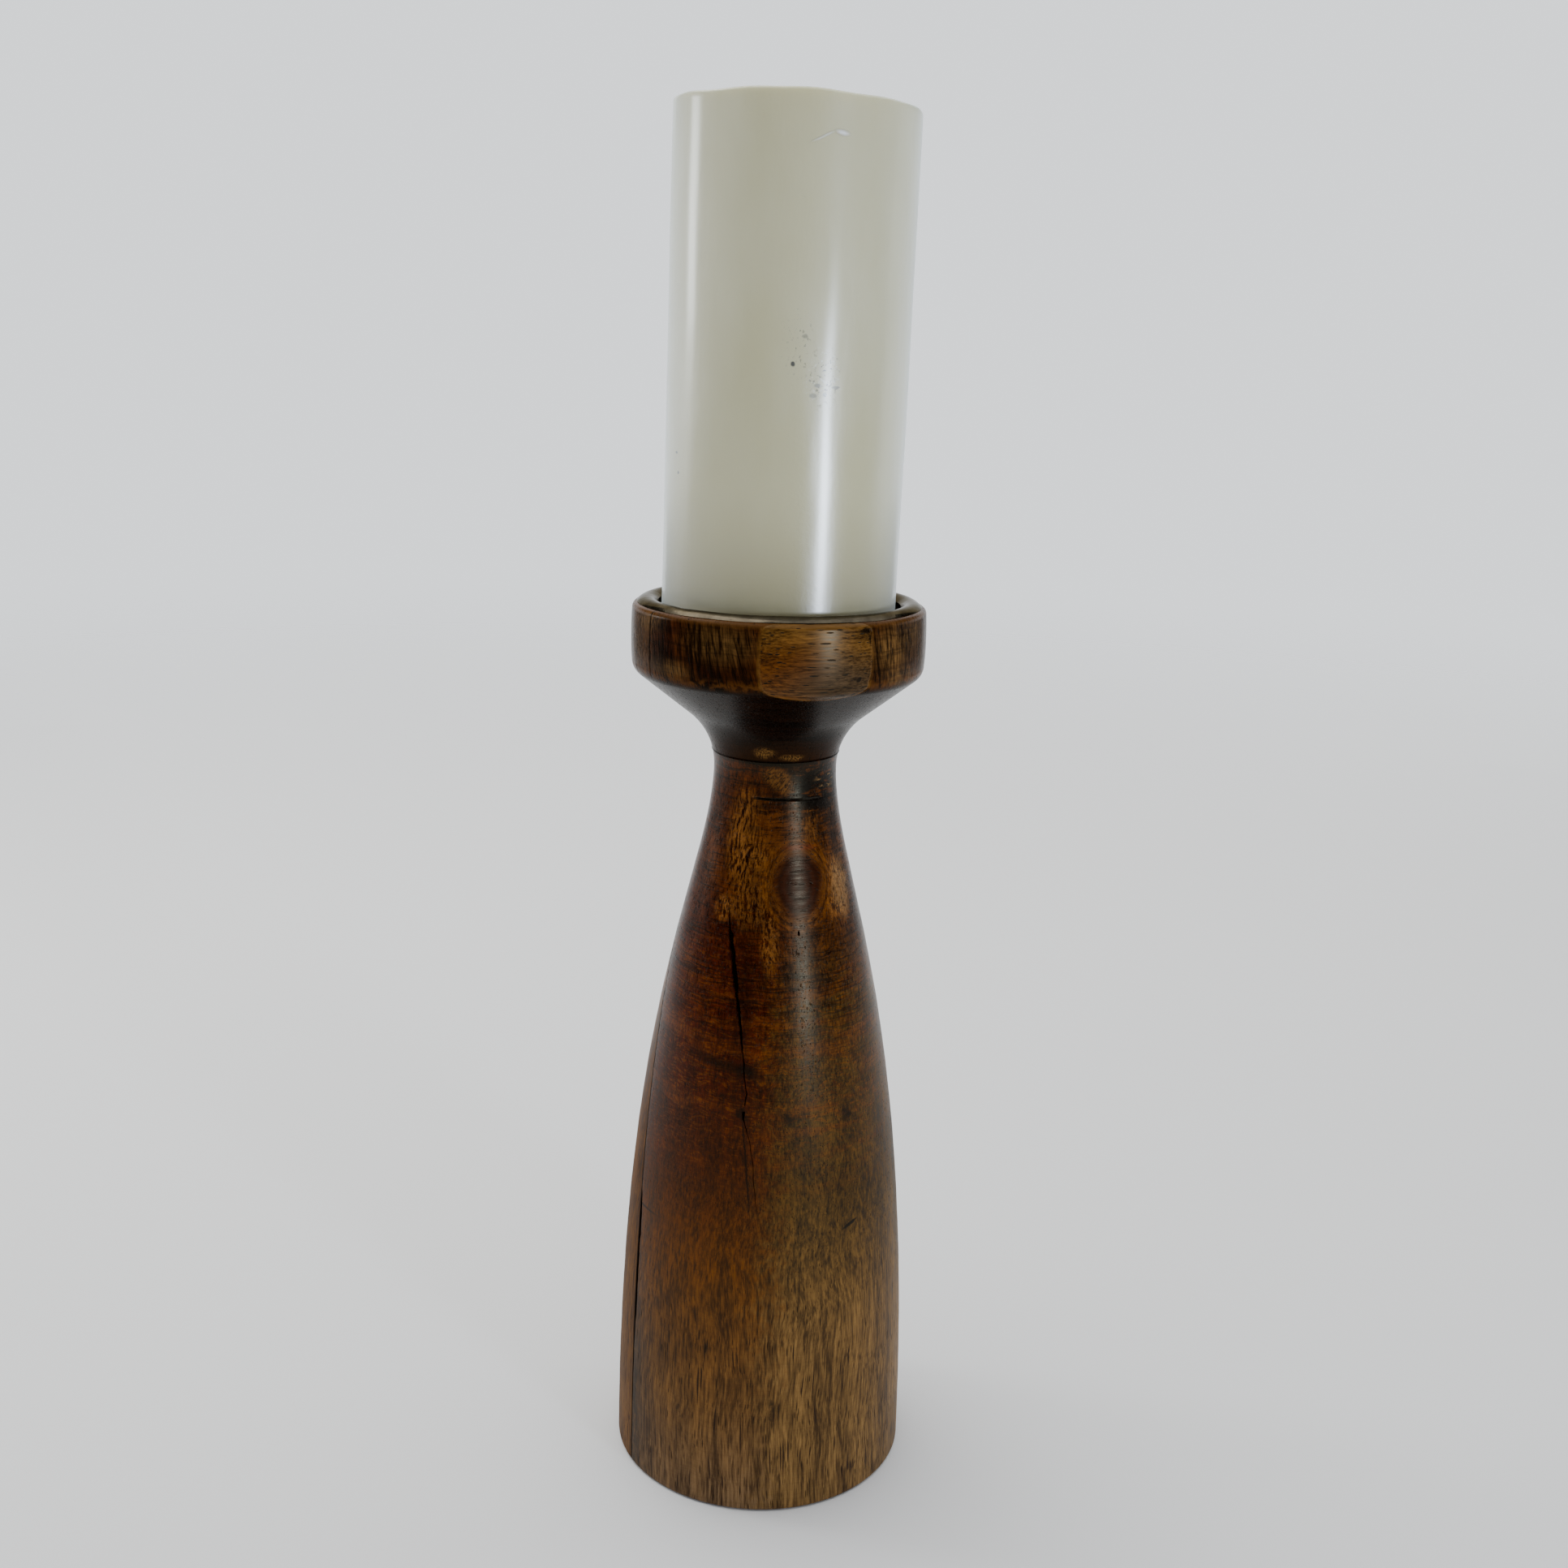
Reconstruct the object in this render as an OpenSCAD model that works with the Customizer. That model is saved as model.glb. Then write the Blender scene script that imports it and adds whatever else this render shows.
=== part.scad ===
// Turned wooden candlestick with a metal candle dish and a used pillar candle.
// Stands on z = 0 with its turning axis on Z; its front faces -Y. Millimetres.

/* [Column] */
// Radius of the foot
base_r = 50.8; // [47:0.1:54]
// Radius at the narrowest point of the neck
neck_r = 20.4; // [18:0.1:23]
// Height of the narrowest point of the neck
neck_z = 249; // [246:0.5:251]
// Height up to which the foot stays full
shoulder_z = 168; // [140:1:185]
// Height from which the neck runs straight
slim_z = 213; // [195:1:230]
// Rounding of the lower edge of the foot
foot_round = 1.2; // [0.5:0.1:3]

/* [Column boards] */
// Distance from the axis to the side board's glue line
side_seam_d = 27.5; // [24:0.5:34]
// Direction the side board faces, anticlockwise from +X
side_seam_angle = 152; // [140:1:165]
// Widest part of the opened glue line
side_gap = 0.5; // [0.2:0.05:0.8]
// Height at which the opened glue line closes
side_gap_top = 128; // [100:1:150]

/* [Drying crack] */
// Widest part of the crack
crack_w = 1.4; // [0.6:0.1:1.8]
// Depth of the crack below the turned surface
crack_depth = 6; // [3:0.5:8]
// Direction the crack faces, anticlockwise from +X
crack_angle = -103; // [-115:1:-90]

/* [Cup] */
// Height of the glue line between the column and the cup
joint_z = 254.2; // [252:0.1:258]
// Height of the wooden rim
rim_z = 303; // [301:0.5:306]
// Largest radius of the cup
cup_r = 48.1; // [47.5:0.1:50]
// Radius of the hollow curve under the cup
cove_r = 23; // [20:0.5:24]
// Slope of the cup's underside, measured from upright
bevel_angle = 51.8; // [48:0.2:54]
// Rounding between the underside and the wall
corner_round = 5; // [2:0.5:6]
// How far the wall swells at mid height
wall_crown = 0.3; // [0.1:0.05:0.6]
// Rounding of the rim's outer edge
rim_round = 2; // [1:0.1:2.5]

/* [Cup boards] */
// Thickness of each board in the cup's stack
board_t = 29.3; // [28:0.1:31]
// Distance from the axis to the front slab's glue line
front_seam_d = 44.6; // [44:0.1:46]
// Direction the stack faces, anticlockwise from +X
stack_angle = -75; // [-90:1:-60]

/* [Neck dowel] */
// Radius of the dowel
dowel_r = 8; // [6:0.5:10]
// Length of the dowel in each half of the joint
dowel_reach = 22; // [16:1:22]

/* [Candle dish] */
// Inside radius of the dish
dish_r = 39.3; // [38.8:0.1:40]
// Height of the dish's floor below the wooden rim
dish_depth = 9; // [6:0.5:10]
// Thickness of the sheet metal
sheet_t = 1; // [0.8:0.1:1.2]
// Outer radius of the rolled flange
flange_r = 46.3; // [45:0.1:46.4]
// Height of the flange's crest above the wooden rim
flange_rise = 1.7; // [1.4:0.1:2.2]

/* [Dish screw] */
// Radius of the screw's shank
screw_r = 2; // [1.5:0.1:2.2]
// Radius of the countersunk head
screw_head_r = 4; // [3.5:0.1:4.5]
// Whole length of the screw
screw_l = 16; // [12:1:16]

/* [Candle] */
// Radius of the candle
candle_r = 38.1; // [36:0.1:38.2]
// Height of the middle of the candle's rim above the table
candle_top = 454.5; // [420:0.5:500]
// Slant of the burnt rim across its width
rim_slant = 1.8; // [0:0.1:4]
// Lean of the candle towards +X
candle_lean = 0.76; // [0:0.02:0.8]
// How far the candle stands off the dish's middle, towards -X
candle_shift = 0.4; // [0:0.1:0.6]
// Thickness of the wax wall round the melt pool
pool_wall = 5; // [4:0.5:10]
// Depth of the melt pool
pool_depth = 13; // [8:1:20]
// Rounding of the candle's lower edge
candle_foot_round = 3; // [2.6:0.1:4]

/* [Wick] */
// Radius of the wick
wick_r = 1.2; // [1:0.1:1.6]
// Straight length of wick above the wax
wick_stand = 3; // [2:0.5:5]
// Length of the wick's burnt end
wick_end_l = 7; // [5:0.5:8]

/* [Felt] */
// Radius of the felt disc
felt_r = 44; // [38:0.5:46]
// Thickness of the felt
felt_t = 1.5; // [1:0.1:2]

/* [Hidden] */
$fn = 128;
big = 200;

felt_proud = 0.3;                       // the felt stands this far below the wood
foot_z = felt_proud;
column_steps = 44;
arc_steps = 8;
opened_seam_from = 26;                  // the opened glue line starts this far from the board's middle
clearance = 0.2;
dish_fillet = 2;

dish_floor = rim_z - dish_depth;
dish_out_r = dish_r + sheet_t;
recess_r = dish_out_r + clearance;
recess_chamfer = 0.8;
hole_r = screw_r + clearance;

flange_half = (flange_r - dish_r) / 2;
flange_mid = (flange_r + dish_r) / 2;
flange_arc_r = (pow(flange_half, 2) + pow(flange_rise, 2)) / (2 * flange_rise);
flange_arc_z = rim_z + flange_rise - flange_arc_r;

tab_r = 8;
tab_t = 0.6;
tab_sink = 0.4;                         // the tab sits this far up inside the wax
tab_neck_r = 2.2;
tab_neck_h = 6;
foot_dip = 0.6;                         // the candle's round reaches this far below the dish before it is cut level
screw_tip_r = 0.3;
screw_tip_l = 4;
drive_l = 4.4;                          // the screw's cross drive
drive_w = 0.9;
drive_depth = 1.4;
pool_r = candle_r - pool_wall;
pool_round = 4;
pool_floor = candle_top - rim_slant - pool_depth;
tab_z = dish_floor + tab_sink;
wick_end_r = 1;
wick_end_lean = 32;

// ---------- outlines ----------

function mix(a, b, t) = a + (b - a) * t;
function bezier(p, t) = pow(1 - t, 3) * p[0] + 3 * pow(1 - t, 2) * t * p[1]
    + 3 * (1 - t) * t * t * p[2] + t * t * t * p[3];
function arc(c, r, from, to, steps) =
    [for (i = [0 : steps]) c + r * [cos(mix(from, to, i / steps)), sin(mix(from, to, i / steps))]];

// The foot's rounding and the long taper up to the neck
column_curve = [[base_r, foot_z + foot_round], [base_r, shoulder_z], [neck_r, slim_z], [neck_r, neck_z]];
function foot_line() = arc([base_r - foot_round, foot_z + foot_round], foot_round, -90, 0, 4);
function taper_line() = [for (i = [1 : column_steps - 1]) bezier(column_curve, i / column_steps)];

// The hollow curve and the straight underside of the cup
cove_centre = [neck_r + cove_r, neck_z];
cove_end = cove_centre + cove_r * [-cos(bevel_angle), sin(bevel_angle)];
wall_foot_r = cup_r - wall_crown;
corner_z = cove_end[1] + (wall_foot_r - cove_end[0]) / tan(bevel_angle);
corner_centre = [wall_foot_r - corner_round, corner_z + corner_round * tan(bevel_angle / 2)];
function cove_line() = arc(cove_centre, cove_r, 180, 180 - bevel_angle, 2 * arc_steps);
function corner_line() = arc(corner_centre, corner_round, -bevel_angle, 0, arc_steps);

// The slightly swelling wall and the rounded rim
wall_low = corner_centre[1];
wall_high = rim_z - rim_round;
function crown(t) = wall_crown * (1 - pow(2 * t - 1, 2));
function wall_line() = [for (i = [1 : arc_steps - 1])
    [wall_foot_r + crown(i / arc_steps), mix(wall_low, wall_high, i / arc_steps)]];
function rim_line() = arc([wall_foot_r - rim_round, wall_high], rim_round, 0, 90, 5);

outer_line = concat(foot_line(), taper_line(), cove_line(), corner_line(), wall_line(), rim_line());

// ---------- turned and sawn blanks ----------

module turned(inset = 0) {
    rotate_extrude()
        difference() {
            translate([-inset, 0])
                polygon(concat([[-1, foot_z]], outer_line, [[-1, rim_z]]));
            translate([-big, 0])
                square([big, 2 * big]);
        }
}

module level_band(z0, z1) {
    translate([-big / 2, -big / 2, z0])
        cube([big, big, z1 - z0]);
}

// Everything that lies between two distances along a direction
module slice(angle, d0, d1) {
    rotate([0, 0, angle])
        translate([d0, -big / 2, -1])
            cube([d1 - d0, big, 2 * big]);
}

module dowel_bore() {
    translate([0, 0, joint_z - dowel_reach - 1])
        cylinder(r = dowel_r, h = 2 * dowel_reach + 2);
}

module felt_recess() {
    translate([0, 0, -1])
        cylinder(r = felt_r + clearance, h = 1 + felt_t);
}

// The drying crack wanders down the front; each row is height, place across and share of full width
crack_path = [[206, -7.6, 0], [200, -6.8, 0.3], [197, -6.2, 0.9], [190, -4.8, 1], [183, -3.6, 0.95],
    [176, -2.2, 0.65], [167, -0.5, 0.6], [161, 0.5, 0.35], [150, 2.4, 0.25], [144, 2.3, 0.4], [141, 2.1, 1],
    [137, 3.2, 0.25], [124, 6.2, 0.2], [104, 9.6, 0]];

module drying_crack() {
    left = [for (p = crack_path) [p[1] - p[2] * crack_w / 2, p[0]]];
    right = [for (i = [len(crack_path) - 2 : -1 : 1])
        [crack_path[i][1] + crack_path[i][2] * crack_w / 2, crack_path[i][0]]];
    difference() {
        rotate([0, 0, crack_angle + 90])
            rotate([90, 0, 0])
                linear_extrude(height = base_r + 5)
                    polygon(concat(left, right));
        turned(crack_depth);
    }
}

// The side board's glue line has opened at the front, widest at mid height
module opened_seam() {
    rotate([0, 0, side_seam_angle])
        translate([side_seam_d, opened_seam_from + big / 2, 0])
            rotate([90, 0, 0])
                linear_extrude(height = big / 2)
                    polygon([[0, -1], [0, side_gap_top], [-side_gap, side_gap_top / 2], [-side_gap / 2, -1]]);
}

// ---------- column ----------

module column_blank() {
    difference() {
        intersection() {
            turned();
            level_band(0, joint_z);
        }
        dowel_bore();
        felt_recess();
    }
}

module column_main_board() {
    color([0.38, 0.20, 0.07])
        difference() {
            column_blank();
            slice(side_seam_angle, side_seam_d, big);
            opened_seam();
            drying_crack();
        }
}

module column_side_board() {
    color([0.34, 0.19, 0.09])
        intersection() {
            column_blank();
            slice(side_seam_angle, side_seam_d, big);
        }
}

module neck_dowel() {
    color([0.70, 0.54, 0.34])
        translate([0, 0, joint_z - dowel_reach])
            cylinder(r = dowel_r, h = 2 * dowel_reach);
}

// ---------- cup ----------

module dish_recess() {
    translate([0, 0, dish_floor - sheet_t])
        cylinder(r = recess_r, h = big);
    translate([0, 0, rim_z - recess_chamfer])
        cylinder(r1 = recess_r, r2 = recess_r + recess_chamfer, h = recess_chamfer);
}

module screw_pocket() {
    head_h = screw_head_r - screw_r;
    translate([0, 0, dish_floor - sheet_t - head_h])
        cylinder(r1 = screw_r, r2 = screw_head_r + sheet_t, h = head_h);
    translate([0, 0, dish_floor - screw_l])
        cylinder(r = screw_r, h = screw_l);
}

module cup_blank() {
    difference() {
        intersection() {
            turned();
            level_band(joint_z, rim_z);
        }
        dish_recess();
    }
}

module cup_board(d0, d1) {
    intersection() {
        cup_blank();
        slice(stack_angle, d0, d1);
    }
}

module cup_front_slab() {
    color([0.47, 0.27, 0.09]) cup_board(front_seam_d, big);
}

module cup_front_board() {
    color([0.30, 0.17, 0.07]) cup_board(front_seam_d - board_t, front_seam_d);
}

module cup_middle_board() {
    color([0.33, 0.19, 0.08])
        difference() {
            cup_board(front_seam_d - 2 * board_t, front_seam_d - board_t);
            dowel_bore();
            screw_pocket();
        }
}

module cup_rear_board() {
    color([0.30, 0.17, 0.07]) cup_board(front_seam_d - 3 * board_t, front_seam_d - 2 * board_t);
}

module cup_rear_slab() {
    color([0.36, 0.21, 0.09]) cup_board(-big, front_seam_d - 3 * board_t);
}

// ---------- candle dish and its screw ----------

module candle_dish() {
    inner_arc_r = flange_arc_r - sheet_t;
    flange_centre = [flange_mid, flange_arc_z];
    seat_angle = asin((rim_z - flange_arc_z) / flange_arc_r);
    under_angle = asin((rim_z - flange_arc_z) / inner_arc_r);
    wall_angle = acos((dish_out_r - flange_mid) / inner_arc_r);
    dimple_h = screw_head_r - hole_r + sheet_t;
    color([0.22, 0.20, 0.18])
        rotate_extrude()
            polygon(concat(
                arc(flange_centre, flange_arc_r, seat_angle, 180 - seat_angle, 12),
                arc([dish_r - dish_fillet, dish_floor + dish_fillet], dish_fillet, 0, -90, 5),
                [[screw_head_r + clearance, dish_floor]],
                [[hole_r, dish_floor - dimple_h + sheet_t]],
                [[hole_r, dish_floor - dimple_h]],
                [[screw_head_r + sheet_t - clearance, dish_floor - sheet_t]],
                arc([dish_r - dish_fillet, dish_floor + dish_fillet], dish_fillet + sheet_t, -90, 0, 5),
                arc(flange_centre, inner_arc_r, wall_angle, under_angle, 10)));
}

module dish_screw() {
    head_h = screw_head_r - screw_r;
    color([0.62, 0.60, 0.56])
        translate([0, 0, dish_floor - screw_l])
            difference() {
                union() {
                    cylinder(r1 = screw_tip_r, r2 = screw_r, h = screw_tip_l);
                    translate([0, 0, screw_tip_l])
                        cylinder(r = screw_r, h = screw_l - head_h - screw_tip_l);
                    translate([0, 0, screw_l - head_h])
                        cylinder(r1 = screw_r, r2 = screw_head_r, h = head_h);
                }
                for (turn = [0, 90])
                    rotate([0, 0, turn])
                        translate([-drive_l / 2, -drive_w / 2, screw_l - drive_depth])
                            cube([drive_l, drive_w, drive_depth + 1]);
            }
}

// ---------- foot ----------

module base_felt() {
    color([0.12, 0.11, 0.10])
        cylinder(r = felt_r, h = felt_t);
}

// ---------- candle ----------

// Tilts and shifts what belongs to the candle, about the middle of its foot
module leaning() {
    translate([-candle_shift, 0, dish_floor])
        rotate([0, candle_lean, 0])
            translate([0, 0, -dish_floor])
                children();
}

module melt_pool() {
    rotate_extrude()
        polygon(concat(
            [[0, pool_floor]],
            arc([pool_r - pool_round, pool_floor + pool_round], pool_round, -90, 0, 6),
            [[pool_r + 1, candle_top + 20]],
            [[0, candle_top + 20]]));
}

// The candle before its top has burnt, with a rounded lower edge
module candle_blank() {
    round_z = dish_floor - foot_dip + candle_foot_round;
    rotate_extrude()
        polygon(concat(
            [[0, dish_floor - foot_dip]],
            arc([candle_r - candle_foot_round, round_z], candle_foot_round, -90, 0, 5),
            [[candle_r, candle_top + 20]],
            [[0, candle_top + 20]]));
}

module burnt_away() {
    translate([0, 0, candle_top])
        rotate([0, rim_slant, 0])
            translate([-big / 2, -big / 2, 0])
                cube(big);
}

module pillar_candle() {
    color([0.87, 0.85, 0.78])
        difference() {
            leaning()
                candle_blank();
            level_band(0, dish_floor);
            burnt_away();
            leaning() {
                melt_pool();
                wick_stem();
                tab_body(dish_floor - 1);
            }
        }
}

// The straight run of the wick, from its foot up through the wax and out of the pool
module wick_stem() {
    translate([0, 0, tab_z])
        cylinder(r = wick_r, h = pool_floor + wick_stand - tab_z);
}

// The burnt end, thinner than the stem, leans over towards +X
module wick_end() {
    translate([0, 0, pool_floor + wick_stand - wick_r])
        rotate([0, wick_end_lean, 0])
            cylinder(r = wick_end_r, h = wick_end_l);
}

module wick() {
    color([0.10, 0.09, 0.08])
        leaning() {
            wick_stem();
            wick_end();
        }
}

// The wick's steel foot: a disc with a crimped neck, from the height bottom upwards
module tab_body(bottom) {
    translate([0, 0, bottom])
        cylinder(r = tab_r, h = tab_z + tab_t - bottom);
    translate([0, 0, tab_z])
        cylinder(r = tab_neck_r, h = tab_neck_h);
}

module wick_tab() {
    color([0.66, 0.65, 0.62])
        leaning()
            difference() {
                tab_body(tab_z);
                translate([0, 0, -1])
                    wick_stem();
                wick_stem();
            }
}

column_main_board();
column_side_board();
neck_dowel();
cup_middle_board();
cup_front_board();
cup_front_slab();
cup_rear_board();
cup_rear_slab();
candle_dish();
dish_screw();
base_felt();
pillar_candle();
wick();
wick_tab();
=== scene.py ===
"""Looks of the turned wooden candlestick: boards, dish, candle, wick and felt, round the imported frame."""
import math

import bmesh
import bpy
import numpy as np
from mathutils import Matrix, Vector


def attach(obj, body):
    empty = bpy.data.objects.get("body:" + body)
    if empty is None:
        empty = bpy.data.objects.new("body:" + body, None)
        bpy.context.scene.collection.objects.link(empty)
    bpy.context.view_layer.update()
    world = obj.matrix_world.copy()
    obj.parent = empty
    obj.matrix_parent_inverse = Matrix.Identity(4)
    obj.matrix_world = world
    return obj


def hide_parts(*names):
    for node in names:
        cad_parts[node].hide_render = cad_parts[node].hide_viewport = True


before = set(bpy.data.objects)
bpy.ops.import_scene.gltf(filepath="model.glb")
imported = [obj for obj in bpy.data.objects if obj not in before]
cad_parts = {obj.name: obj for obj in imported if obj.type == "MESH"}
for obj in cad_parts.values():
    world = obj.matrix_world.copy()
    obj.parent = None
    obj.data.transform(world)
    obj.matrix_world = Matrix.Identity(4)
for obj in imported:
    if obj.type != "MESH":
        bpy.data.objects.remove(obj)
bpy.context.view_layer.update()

MM = 0.001
SEGMENTS = 288  # round a turned piece
CUT_MERGE = 1e-7  # points nearer than this to a saw cut, in metres, are put on it

# Sizes in millimetres, as in the CAD source
FOOT_Z = 0.3
FOOT_R = 50.8
FOOT_ROUND = 1.2
NECK_R = 20.4
NECK_Z = 249.0
SHOULDER_Z = 168.0
SLIM_Z = 213.0
SIDE_SEAM_D = 27.5
SIDE_SEAM_ANGLE = 152.0
GAP_HEIGHTS = (2.0, 45.0, 60.0, 95.0, 101.0, 104.0, 150.0)
GAP_WIDTHS = (0.5, 0.7, 1.7, 1.9, 1.3, 0.45, 0.25)
GAP_SECTIONS = 46
GAP_SPREAD = 0.1
GAP_OUTER, GAP_INNER = 60, 20  # from the middle of the seam, along it
CRACK_AZ = -13.0
JOINT_Z = 254.2
RIM_Z = 303.0
CUP_R = 48.1
COVE_R = 23.0
BEVEL = math.radians(51.8)
CORNER_ROUND = 5.0
WALL_CROWN = 0.3
RIM_ROUND = 2.0
BOARD_T = 29.3
FRONT_SEAM_D = 44.6
STACK_ANGLE = -75.0
DOWEL_R = 8.0
DOWEL_REACH = 22.0
DISH_R = 39.3
DISH_FLOOR = 294.0
SHEET = 1.0
DISH_FILLET = 2.0
FLANGE_R = 46.3
FLANGE_RISE = 1.7
SCREW_R = 2.0
SCREW_HEAD_R = 4.0
SCREW_L = 16.0
CLEARANCE = 0.2
CANDLE_R = 38.1
CANDLE_TOP = 454.5
CANDLE_LEAN = 0.76
CANDLE_SHIFT = -0.4
RIM_SLANT = 1.04
POOL_FLOOR = 439.7
POOL_WALL = 5.0
WICK_R = 1.2
WICK_STAND = 3.0
WICK_END = 7.0
WICK_LEAN = 32.0
FELT_R = 44.0
FELT_T = 1.5
TAB_SINK = 0.4


# ---------- outlines, in millimetres, as (radius, height) ----------

def mix(a, b, t):
    return a + (b - a) * t


def arc(centre, r, start, end, steps):
    """Points on a circle, angles in degrees."""
    angles = [math.radians(mix(start, end, i / steps)) for i in range(steps + 1)]
    return [(centre[0] + r * math.cos(a), centre[1] + r * math.sin(a)) for a in angles]


def bezier(p, t):
    weights = [(1 - t) ** 3, 3 * (1 - t) ** 2 * t, 3 * (1 - t) * t * t, t ** 3]
    return tuple(sum(w * q[k] for w, q in zip(weights, p)) for k in (0, 1))


def densify(points, step):
    """Adds points so that no two neighbours are further apart than step."""
    out = [points[0]]
    for a, b in zip(points, points[1:]):
        n = max(1, math.ceil(math.dist(a, b) / step))
        out += [(mix(a[0], b[0], i / n), mix(a[1], b[1], i / n)) for i in range(1, n + 1)]
    return out


def column_line():
    curve = [(FOOT_R, FOOT_Z + FOOT_ROUND), (FOOT_R, SHOULDER_Z), (NECK_R, SLIM_Z), (NECK_R, NECK_Z)]
    foot = arc((FOOT_R - FOOT_ROUND, FOOT_Z + FOOT_ROUND), FOOT_ROUND, -90, 0, 6)
    return foot + [bezier(curve, i / 90) for i in range(1, 91)]


COVE_CENTRE = (NECK_R + COVE_R, NECK_Z)
COVE_END = (COVE_CENTRE[0] - COVE_R * math.cos(BEVEL), COVE_CENTRE[1] + COVE_R * math.sin(BEVEL))
WALL_R = CUP_R - WALL_CROWN
CORNER_Z = COVE_END[1] + (WALL_R - COVE_END[0]) / math.tan(BEVEL)
CORNER_CENTRE = (WALL_R - CORNER_ROUND, CORNER_Z + CORNER_ROUND * math.tan(BEVEL / 2))


def cove_line():
    return arc(COVE_CENTRE, COVE_R, 180, 180 - math.degrees(BEVEL), 40)


def cup_line():
    """From the end of the hollow curve to the inner edge of the wooden rim."""
    low, high = CORNER_CENTRE[1], RIM_Z - RIM_ROUND
    corner = arc(CORNER_CENTRE, CORNER_ROUND, -math.degrees(BEVEL), 0, 16)
    wall = [(WALL_R + WALL_CROWN * (1 - (2 * t - 1) ** 2), mix(low, high, t))
            for t in [i / 24 for i in range(1, 24)]]
    rim = arc((WALL_R - RIM_ROUND, high), RIM_ROUND, 0, 90, 10)
    return corner + wall + rim


OUTER = column_line() + cove_line()[1:] + cup_line()
OUTER_Z = np.array([p[1] for p in OUTER])
OUTER_R = np.array([p[0] for p in OUTER])


def surface_r(z):
    """Radius of the turned surface at a height."""
    return np.interp(z, OUTER_Z, OUTER_R)


# ---------- mesh building ----------

def show(name, content):
    """A new object in the scene."""
    obj = bpy.data.objects.new(name, content)
    bpy.context.scene.collection.objects.link(obj)
    return obj


def link(name, mesh, smooth=40):
    """A smooth-shaded piece, sharp where its faces meet at more than an angle in degrees."""
    obj = show(name, mesh)
    mesh.shade_smooth()
    mesh.set_sharp_from_angle(angle=math.radians(smooth))
    return obj


def solid_mesh(name, points, faces):
    """A closed mesh from points in mm, with its faces turned outwards."""
    mesh = bpy.data.meshes.new(name)
    mesh.from_pydata([tuple(c * MM for c in p) for p in points], [], faces)
    bm = bmesh.new()
    bm.from_mesh(mesh)
    bmesh.ops.recalc_face_normals(bm, faces=bm.faces)
    bm.to_mesh(mesh)
    bm.free()
    return mesh


def lathe_mesh(name, rows, closed=False, shape=None, segments=SEGMENTS):
    """A solid of revolution from (radius, height) rows in mm; a radius of 0 makes a pole.
    shape(azimuth, r, z) may move a point and returns its new r and z; azimuth runs from -Y towards +X."""
    az = np.linspace(0, 2 * math.pi, segments, endpoint=False)
    points, faces, rings = [], [], []
    for r, z in rows:
        start = len(points)
        if r == 0:
            points.append(place(np.zeros(1), np.zeros(1), np.array([z]), shape)[0])
            rings.append([start] * segments)
        else:
            ring = place(az, np.full(segments, r), np.full(segments, z), shape)
            points.extend(ring)
            rings.append(list(range(start, start + segments)))
    pairs = list(zip(rings, rings[1:])) + ([(rings[-1], rings[0])] if closed else [])
    for a, b in pairs:
        for i in range(segments):
            j = (i + 1) % segments
            face = [a[i], a[j], b[j], b[i]]
            faces.append(list(dict.fromkeys(face)))
    return solid_mesh(name, points, faces)


def place(az, r, z, shape):
    if shape:
        r, z = shape(az, r, z)
    return np.stack([r * np.sin(az), -r * np.cos(az), z], axis=1)


def unit(angle):
    """Level direction at an angle from +X, in degrees."""
    a = math.radians(angle)
    return Vector((math.cos(a), math.sin(a), 0))


def radial_depth(co):
    """How far a point lies below the turned surface, in mm, and its height."""
    z = co.z / MM
    r = math.hypot(co.x, co.y) / MM
    return float(surface_r(z)) - r, z


RAW_SLOT, DARK_SLOT = 1, 2  # a board's material slots after its outer one
SEAM_EASE = 0.12  # depth of the fine groove along a glue line
SEAM_EDGE = 0.3  # half its width
SKIN = 0.4  # a cut point nearer than this to the turned surface is on it
RIM_CLEAR = 0.05  # the flat rim above the rounding isn't eased


def saw(mesh, normal, distance, keep_below):
    """Cuts a mesh at a seam plane, closes it, and eases the outer edge of the cut."""
    bm = bmesh.new()
    bm.from_mesh(mesh)
    sign = 1 if keep_below else -1
    inner = distance - sign * SEAM_EDGE
    for plane, way, clear in ((inner, 1, False), (distance, sign, True)):
        geom = list(bm.verts) + list(bm.edges) + list(bm.faces)
        cut = bmesh.ops.bisect_plane(bm, geom=geom, plane_co=normal * plane * MM, plane_no=normal * way,
                                     dist=CUT_MERGE, clear_outer=clear)["geom_cut"]
    edges = [e for e in cut if isinstance(e, bmesh.types.BMEdge)]
    caps = bmesh.ops.edgeloop_fill(bm, edges=edges)["faces"]
    for face in caps:
        face.material_index = RAW_SLOT
    for v in [v for v in cut if isinstance(v, bmesh.types.BMVert)]:
        depth, z = radial_depth(v.co)
        if abs(depth) < SKIN and (z < JOINT_Z or CORNER_Z < z < RIM_Z - RIM_CLEAR):
            r = math.hypot(v.co.x, v.co.y)
            v.co.x *= 1 - SEAM_EASE * MM / r
            v.co.y *= 1 - SEAM_EASE * MM / r
    bmesh.ops.recalc_face_normals(bm, faces=bm.faces)
    out = bpy.data.meshes.new(mesh.name)
    bm.to_mesh(out)
    bm.free()
    return out


def carve(obj, cutter):
    """Takes a cutter out of an object for good."""
    modifier = obj.modifiers.new("carve", "BOOLEAN")
    modifier.operation = "DIFFERENCE"
    modifier.solver = "EXACT"
    modifier.object = cutter
    graph = bpy.context.evaluated_depsgraph_get()
    mesh = bpy.data.meshes.new_from_object(obj.evaluated_get(graph))
    obj.modifiers.clear()
    obj.data = mesh
    bpy.data.objects.remove(cutter)


BLADE_FLARE, BLADE_TIP = 1.25, 0.25  # a blade's width at its two ends, as shares of the crack's
MIN_WIDTH = 0.05  # of a crack, in mm
WIDTH_SPREAD = 0.16  # how much its width varies


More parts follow.
